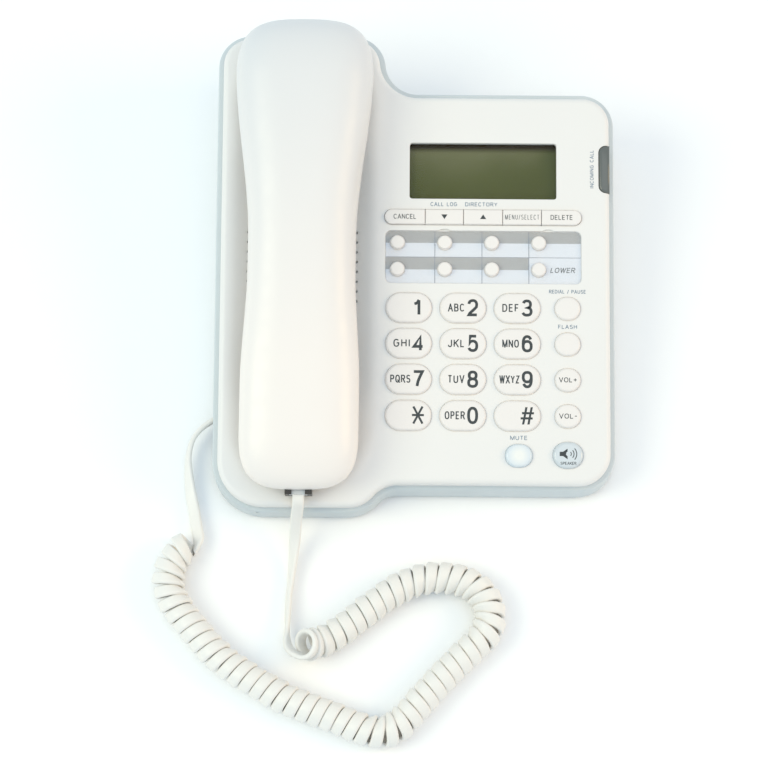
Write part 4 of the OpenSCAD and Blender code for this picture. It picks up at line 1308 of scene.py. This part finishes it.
# The print on the shell: name, words, place of its middle, height, width, turn.
PRINTS = (
    ("call_log", "CALL LOG", (12.1, 31.9), 1.75, 11.3, 0),
    ("directory", "DIRECTORY", (28.1, 31.9), 1.75, 13.7, 0),
    ("redial", "REDIAL / PAUSE", (64.7, -5.7), 1.6, 15.6, 0),
    ("flash", "FLASH", (64.7, -20.8), 1.75, 8.0, 0),
    ("mute", "MUTE", (44, -68.3), 1.8, 7.2, 0),
    ("incoming", "INCOMING CALL", (75.3, 47.6), 1.6, 16.6, math.pi / 2),
)
for name, text, at, height, width, turn in PRINTS:
    letters("print_" + name, text, at, height, "base", INK_BLUE, width=width, turn=turn, weight=0.15,
            gap=0.34)
speaker_top = on_key(*SPEAKER_AT, *SPEAKER_SIZE, dome=0.6)
letters("print_speaker_word", "SPEAKER", (SPEAKER_AT[0], SPEAKER_AT[1] - 3.5), 1.2, "key_speaker", INK,
        width=6.6, surface=speaker_top, weight=0.15)
for name, text, y in (("key_volume_up", "VOL+", DIAL_ROWS[2]), ("key_volume_down", "VOL-", DIAL_ROWS[3])):
    letters("print_" + name[4:], text, (SIDE_KEY_X, y), 2.1, name, INK, width=7.6,
            surface=on_key(SIDE_KEY_X, y, *SIDE_KEY), weight=0.14)
NAV_PRINTS = (("key_cancel", "CANCEL", 9.6), ("key_down", "", 0), ("key_up", "", 0),
              ("key_menu", "MENU/SELECT", 14.5), ("key_delete", "DELETE", 9.4))
for i, (name, text, width) in enumerate(NAV_PRINTS):
    shape, middle, size = nav_shape(i)
    top = on_key(*middle, *size, dome=0.1)
    if text:
        letters("print_" + name[4:], text, middle, 2.1, name, INK, width=width, surface=top,
                weight=0.085 if "/" in text else 0.125, gap=0.5 if "/" in text else 0.3)
    else:
        flip = -1 if name == "key_down" else 1
        loop = np.array([(-1.3, -0.95 * flip), (1.3, -0.95 * flip), (0, 1.05 * flip)][::flip]) + middle
        b = Build()
        level = top(loop[:, 0], loop[:, 1])
        ring = [b.add(with_height(loop, level + v), True) for v in (-0.1, 0.05)]
        b.stack(ring)
        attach(b.object("print_" + name[4:], INK, 30), name)

# ---------------------------------------------------------------- display

window = Build()
rings = [window.add(with_height(rounded(LCD_X, LCD_Y, 1.2, -d), z), True) for d, z in
         ((0.06, -ROOF + 0.02), (0.06, -1.0), (0.14, -0.8), (0.34, -0.72))]
window.stack(rings)
window = window.object("display_window", GLASS, 40)
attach(window, "base")
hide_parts("lcd_window")

panel = Build()
# The module behind the window is wider than the window itself.
MODULE_X, MODULE_Y, MODULE_LOW = (-5.8, 63.8), (32.2, 61.3), -7.1
module = rounded(MODULE_X, MODULE_Y, 1.0)
rings = [panel.add(with_height(module, z), True) for z in (MODULE_LOW, -ROOF - 0.02)]
rings += [panel.add(with_height(rounded(LCD_X, LCD_Y, 1.0, d, 6), z), True) for d, z in
          ((0.3, -ROOF - 0.02), (0.2, -ROOF - 0.15), (0.2, -3.6))]
panel.stack(rings)
panel = panel.object("display_panel", LCD, 40)
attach(panel, "base")
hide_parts("lcd_module")

# ---------------------------------------------------------------- memory panel

SEPARATORS = (8.4, 28.45, 48.4)


def plate(name, outer, holes, low, high, material, edge=0.0):
    """A flat plate with round holes, its upper edge broken by edge."""
    b = Build()
    xy, tris, numbers = triangulate(outer(-edge), [h(edge) for h in holes])
    up = b.add(with_height(xy, high), True)
    down_xy, down_tris, down_numbers = triangulate(outer(0), [h(0) for h in holes])
    down = b.add(with_height(down_xy, low), True)
    b.faces += [tuple(up[i] for i in t) for t in tris] + [tuple(down[i] for i in t[::-1]) for t in down_tris]
    for k, loop in enumerate([outer(0), *[h(0) for h in holes]]):
        ring = [[up[i] for i in numbers[k]], b.add(with_height(loop, high - edge), True),
                [down[i] for i in down_numbers[k]]]
        b.loft(ring)
    return b.object(name, material, 35)


CARD_GAP, CARD_TOP = 0.45, -1.0
card_holes = [lambda d, x=x, y=y: circle(x, y, MEMORY_D / 2 + CARD_GAP + d, 32)
              for x in MEMORY_COLS for y in MEMORY_ROWS]
card = plate("memory_index_card", lambda d: rounded(MEMORY_X, MEMORY_Y, 2.5, d - 0.12, 8), card_holes,
             -TRAY + 0.01, CARD_TOP, CARD)
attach(card, "base")
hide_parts("memory_card")
cover = plate("memory_cover", lambda d: notched(d - 0.1, NOTCH_D), card_holes, -0.88, -0.12, COVER, 0.15)
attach(cover, "base")
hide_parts("memory_card_cover")


def printed(name, loops, z, material, thick=0.02):
    b = Build()
    for loop in loops:
        ring = [b.add(with_height(np.asarray(loop, float), v), True) for v in (z - 0.03, z + thick)]
        b.stack(ring)
    obj = b.object(name, material, 30)
    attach(obj, "base")
    return obj


def box_loop(x0, x1, y0, y1):
    return [(x0, y0), (x1, y0), (x1, y1), (x0, y1)]


def band_loop(x0, x1, y0, y1, row):
    """A grey band from x0 to x1, its lower edge let round the keys of the row."""
    out = [(x0, y1), (x0, y0)]
    for x in MEMORY_COLS:
        r = MEMORY_D / 2 + 0.5
        if x0 < x - r and x + r < x1:
            out += [(x + r * math.cos(t), row + r * math.sin(t)) for t in np.linspace(math.pi, 0, 13)]
    return out + [(x1, y0), (x1, y1)]


left, right_x = MEMORY_X[0] + 0.2, MEMORY_X[1] - 0.2
upper_band = band_loop(left, right_x, MEMORY_ROWS[0], MEMORY_Y[1] - 0.2, MEMORY_ROWS[0])
r, quarter = 2.3, np.linspace(0, math.pi / 2, 7)
corner_y = MEMORY_Y[1] - 0.2 - r
corner_l = [(left + r - r * math.sin(t), corner_y + r * math.cos(t)) for t in quarter]
corner_r = [(right_x - r + r * math.sin(t), corner_y + r * math.cos(t)) for t in quarter[::-1]]
upper_band = corner_l + upper_band[1:-1] + corner_r
lower_band = band_loop(left, SEPARATORS[2], MEMORY_ROWS[1], 9.1, MEMORY_ROWS[1])
printed("card_bands", [upper_band, lower_band], CARD_TOP, CARD_GREY)
rules = [box_loop(x - 0.14, x + 0.14, MEMORY_Y[0] + 0.2, MEMORY_Y[1] - 0.2) for x in SEPARATORS]
rules.append(box_loop(left, right_x, 8.98, 9.2))
printed("card_rules", rules, -0.975, CARD_LINE, 0.01)
letters("print_lower", "LOWER", (62.9, 3.7), 2.25, "base", INK, width=10.4, slant=0.22, weight=0.15,
        surface=lambda x, y: np.full(len(x), -0.975), thick=0.02)

# ---------------------------------------------------------------- speaker sign and cloth

def lay(name, loops, body, material, surface, thick=0.04):
    b = Build()
    for k, loop in enumerate(loops):
        loop = np.asarray(loop, float)
        z = surface(loop[:, 0], loop[:, 1])
        ring = [b.add(np.column_stack([loop, z + v]), True) for v in (-0.08, thick + 0.002 * k)]
        b.stack(ring)
    obj = b.object(name, material, 30)
    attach(obj, body)
    return obj


sx, sy = SPEAKER_AT[0] - 0.15, SPEAKER_AT[1] + 0.45
horn = (-3.5, -0.9), (-2.1, -0.9), (-0.2, -2.25), (-0.2, 2.25), (-2.1, 0.9), (-3.5, 0.9)
icon = [[(sx + dx, sy + dy) for dx, dy in horn]]
for r in (1.2, 2.35, 3.5):
    t = np.radians(np.linspace(-42, 42, 11))
    a, b2 = r - 0.17, r + 0.17
    icon.append([(sx + 0.15 + b2 * math.cos(v), sy + b2 * math.sin(v)) for v in t]
                + [(sx + 0.15 + a * math.cos(v), sy + a * math.sin(v)) for v in t[::-1]])
lay("print_speaker_sign", icon, "key_speaker", INK, speaker_top)

cloth = Build()
rings = [circle(HAND_X, GRILLE_Y, r, 48) for r in (0.01, 6, 12, 18, 23, 27.2)]
high = [cloth.add(with_height(loop, dish(loop) - ROOF - 0.06), True) for loop in rings]
low = [cloth.add(with_height(loop, dish(loop) - ROOF - 0.36), True) for loop in rings]
cloth.loft(high)
cloth.loft(low)
cloth.strip(high[-1], low[-1])
cloth.faces += [tuple(high[0]), tuple(low[0][::-1])]
for h in grille_holes():
    bump = h(-0.08)[::2]
    ring = [cloth.add(with_height(bump, dish(bump) - v), True) for v in (ROOF + 0.2, 0.75)]
    cloth.stack(ring)
cloth = cloth.object("speaker_cloth", CLOTH, 40)
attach(cloth, "base")

# ---------------------------------------------------------------- finishes for the CAD nodes

FINISHES = {
    "base_bottom_shell": CASING, "battery_door": CASING, "base_top_shell": SHELL, "hook_plunger": KEY,
    "hang_tab": KEY,
    "handset_back_shell": HANDSET, "handset_front_shell": HANDSET, "key_mute": MUTE, "key_speaker": TINTED,
    "main_board": BOARD, "key_mat": SILICONE, "lcd_module": LCD, "lcd_window": GLASS, "memory_card": CARD,
    "memory_card_cover": COVER, "loudspeaker": CONE, "base_handset_jack": JACK, "line_jack": JACK,
    "call_light_lens": LENS, "batteries": CELL, "rubber_feet": RUBBER, "case_screws": METAL,
    "handset_receiver": CONE, "handset_microphone": CONE, "handset_weight": WEIGHT,
    "base_plug": PLUG, "handset_plug": PLUG, "cord_base_lead": CORD, "cord_curl": CORD,
    "cord_handset_lead": CORD,
}
for name, node in nodes.items():
    node.data.materials.clear()
    node.data.materials.append(FINISHES.get(name, KEY))

# ---------------------------------------------------------------- floor and light

floor = Build()
ring = [floor.add(np.column_stack([circle(0, 0, r, 64), np.full(64, 0.0)])) for r in (300, 900, 2500)]
floor.loft(ring)
floor.fan(ring[0], floor.add([(0, 0, 0)])[0])
floor = floor.object("floor", moulded("floor_white", srgb(252, 252, 252), 0.7, drift=0.004))

world = bpy.data.worlds.new("studio")
scene.world = world
world.use_nodes = True
SKY, SKY_STRENGTH = (0.72, 0.87, 1.0, 1), 0.86
background = world.node_tree.nodes["Background"]
background.inputs["Color"].default_value = SKY
background.inputs["Strength"].default_value = SKY_STRENGTH


def softbox(name, at, aim, size, power, color=(1, 1, 1)):
    """A round lamp of size metres and power watts at a place, facing another."""
    light = bpy.data.lights.new(name, "AREA")
    light.shape, light.size, light.energy, light.color = "DISK", size, power, color
    obj = bpy.data.objects.new(name, light)
    obj.location = at
    obj.rotation_euler = (Vector(aim) - Vector(at)).to_track_quat("-Z", "Y").to_euler()
    scene.collection.objects.link(obj)


AIM = (0, 0, 0.02)
softbox("key", (-1.1, -0.25, 1.15), AIM, 1.0, 9.0, (1.0, 0.93, 0.66))
softbox("fill", (1.2, -0.1, 0.75), AIM, 0.8, 6.2, (1.0, 0.66, 0.28))
softbox("top", (0.2, -0.2, 1.7), AIM, 1.2, 2.4)
scene.view_settings.view_transform = "Standard"
scene.view_settings.look = "None"
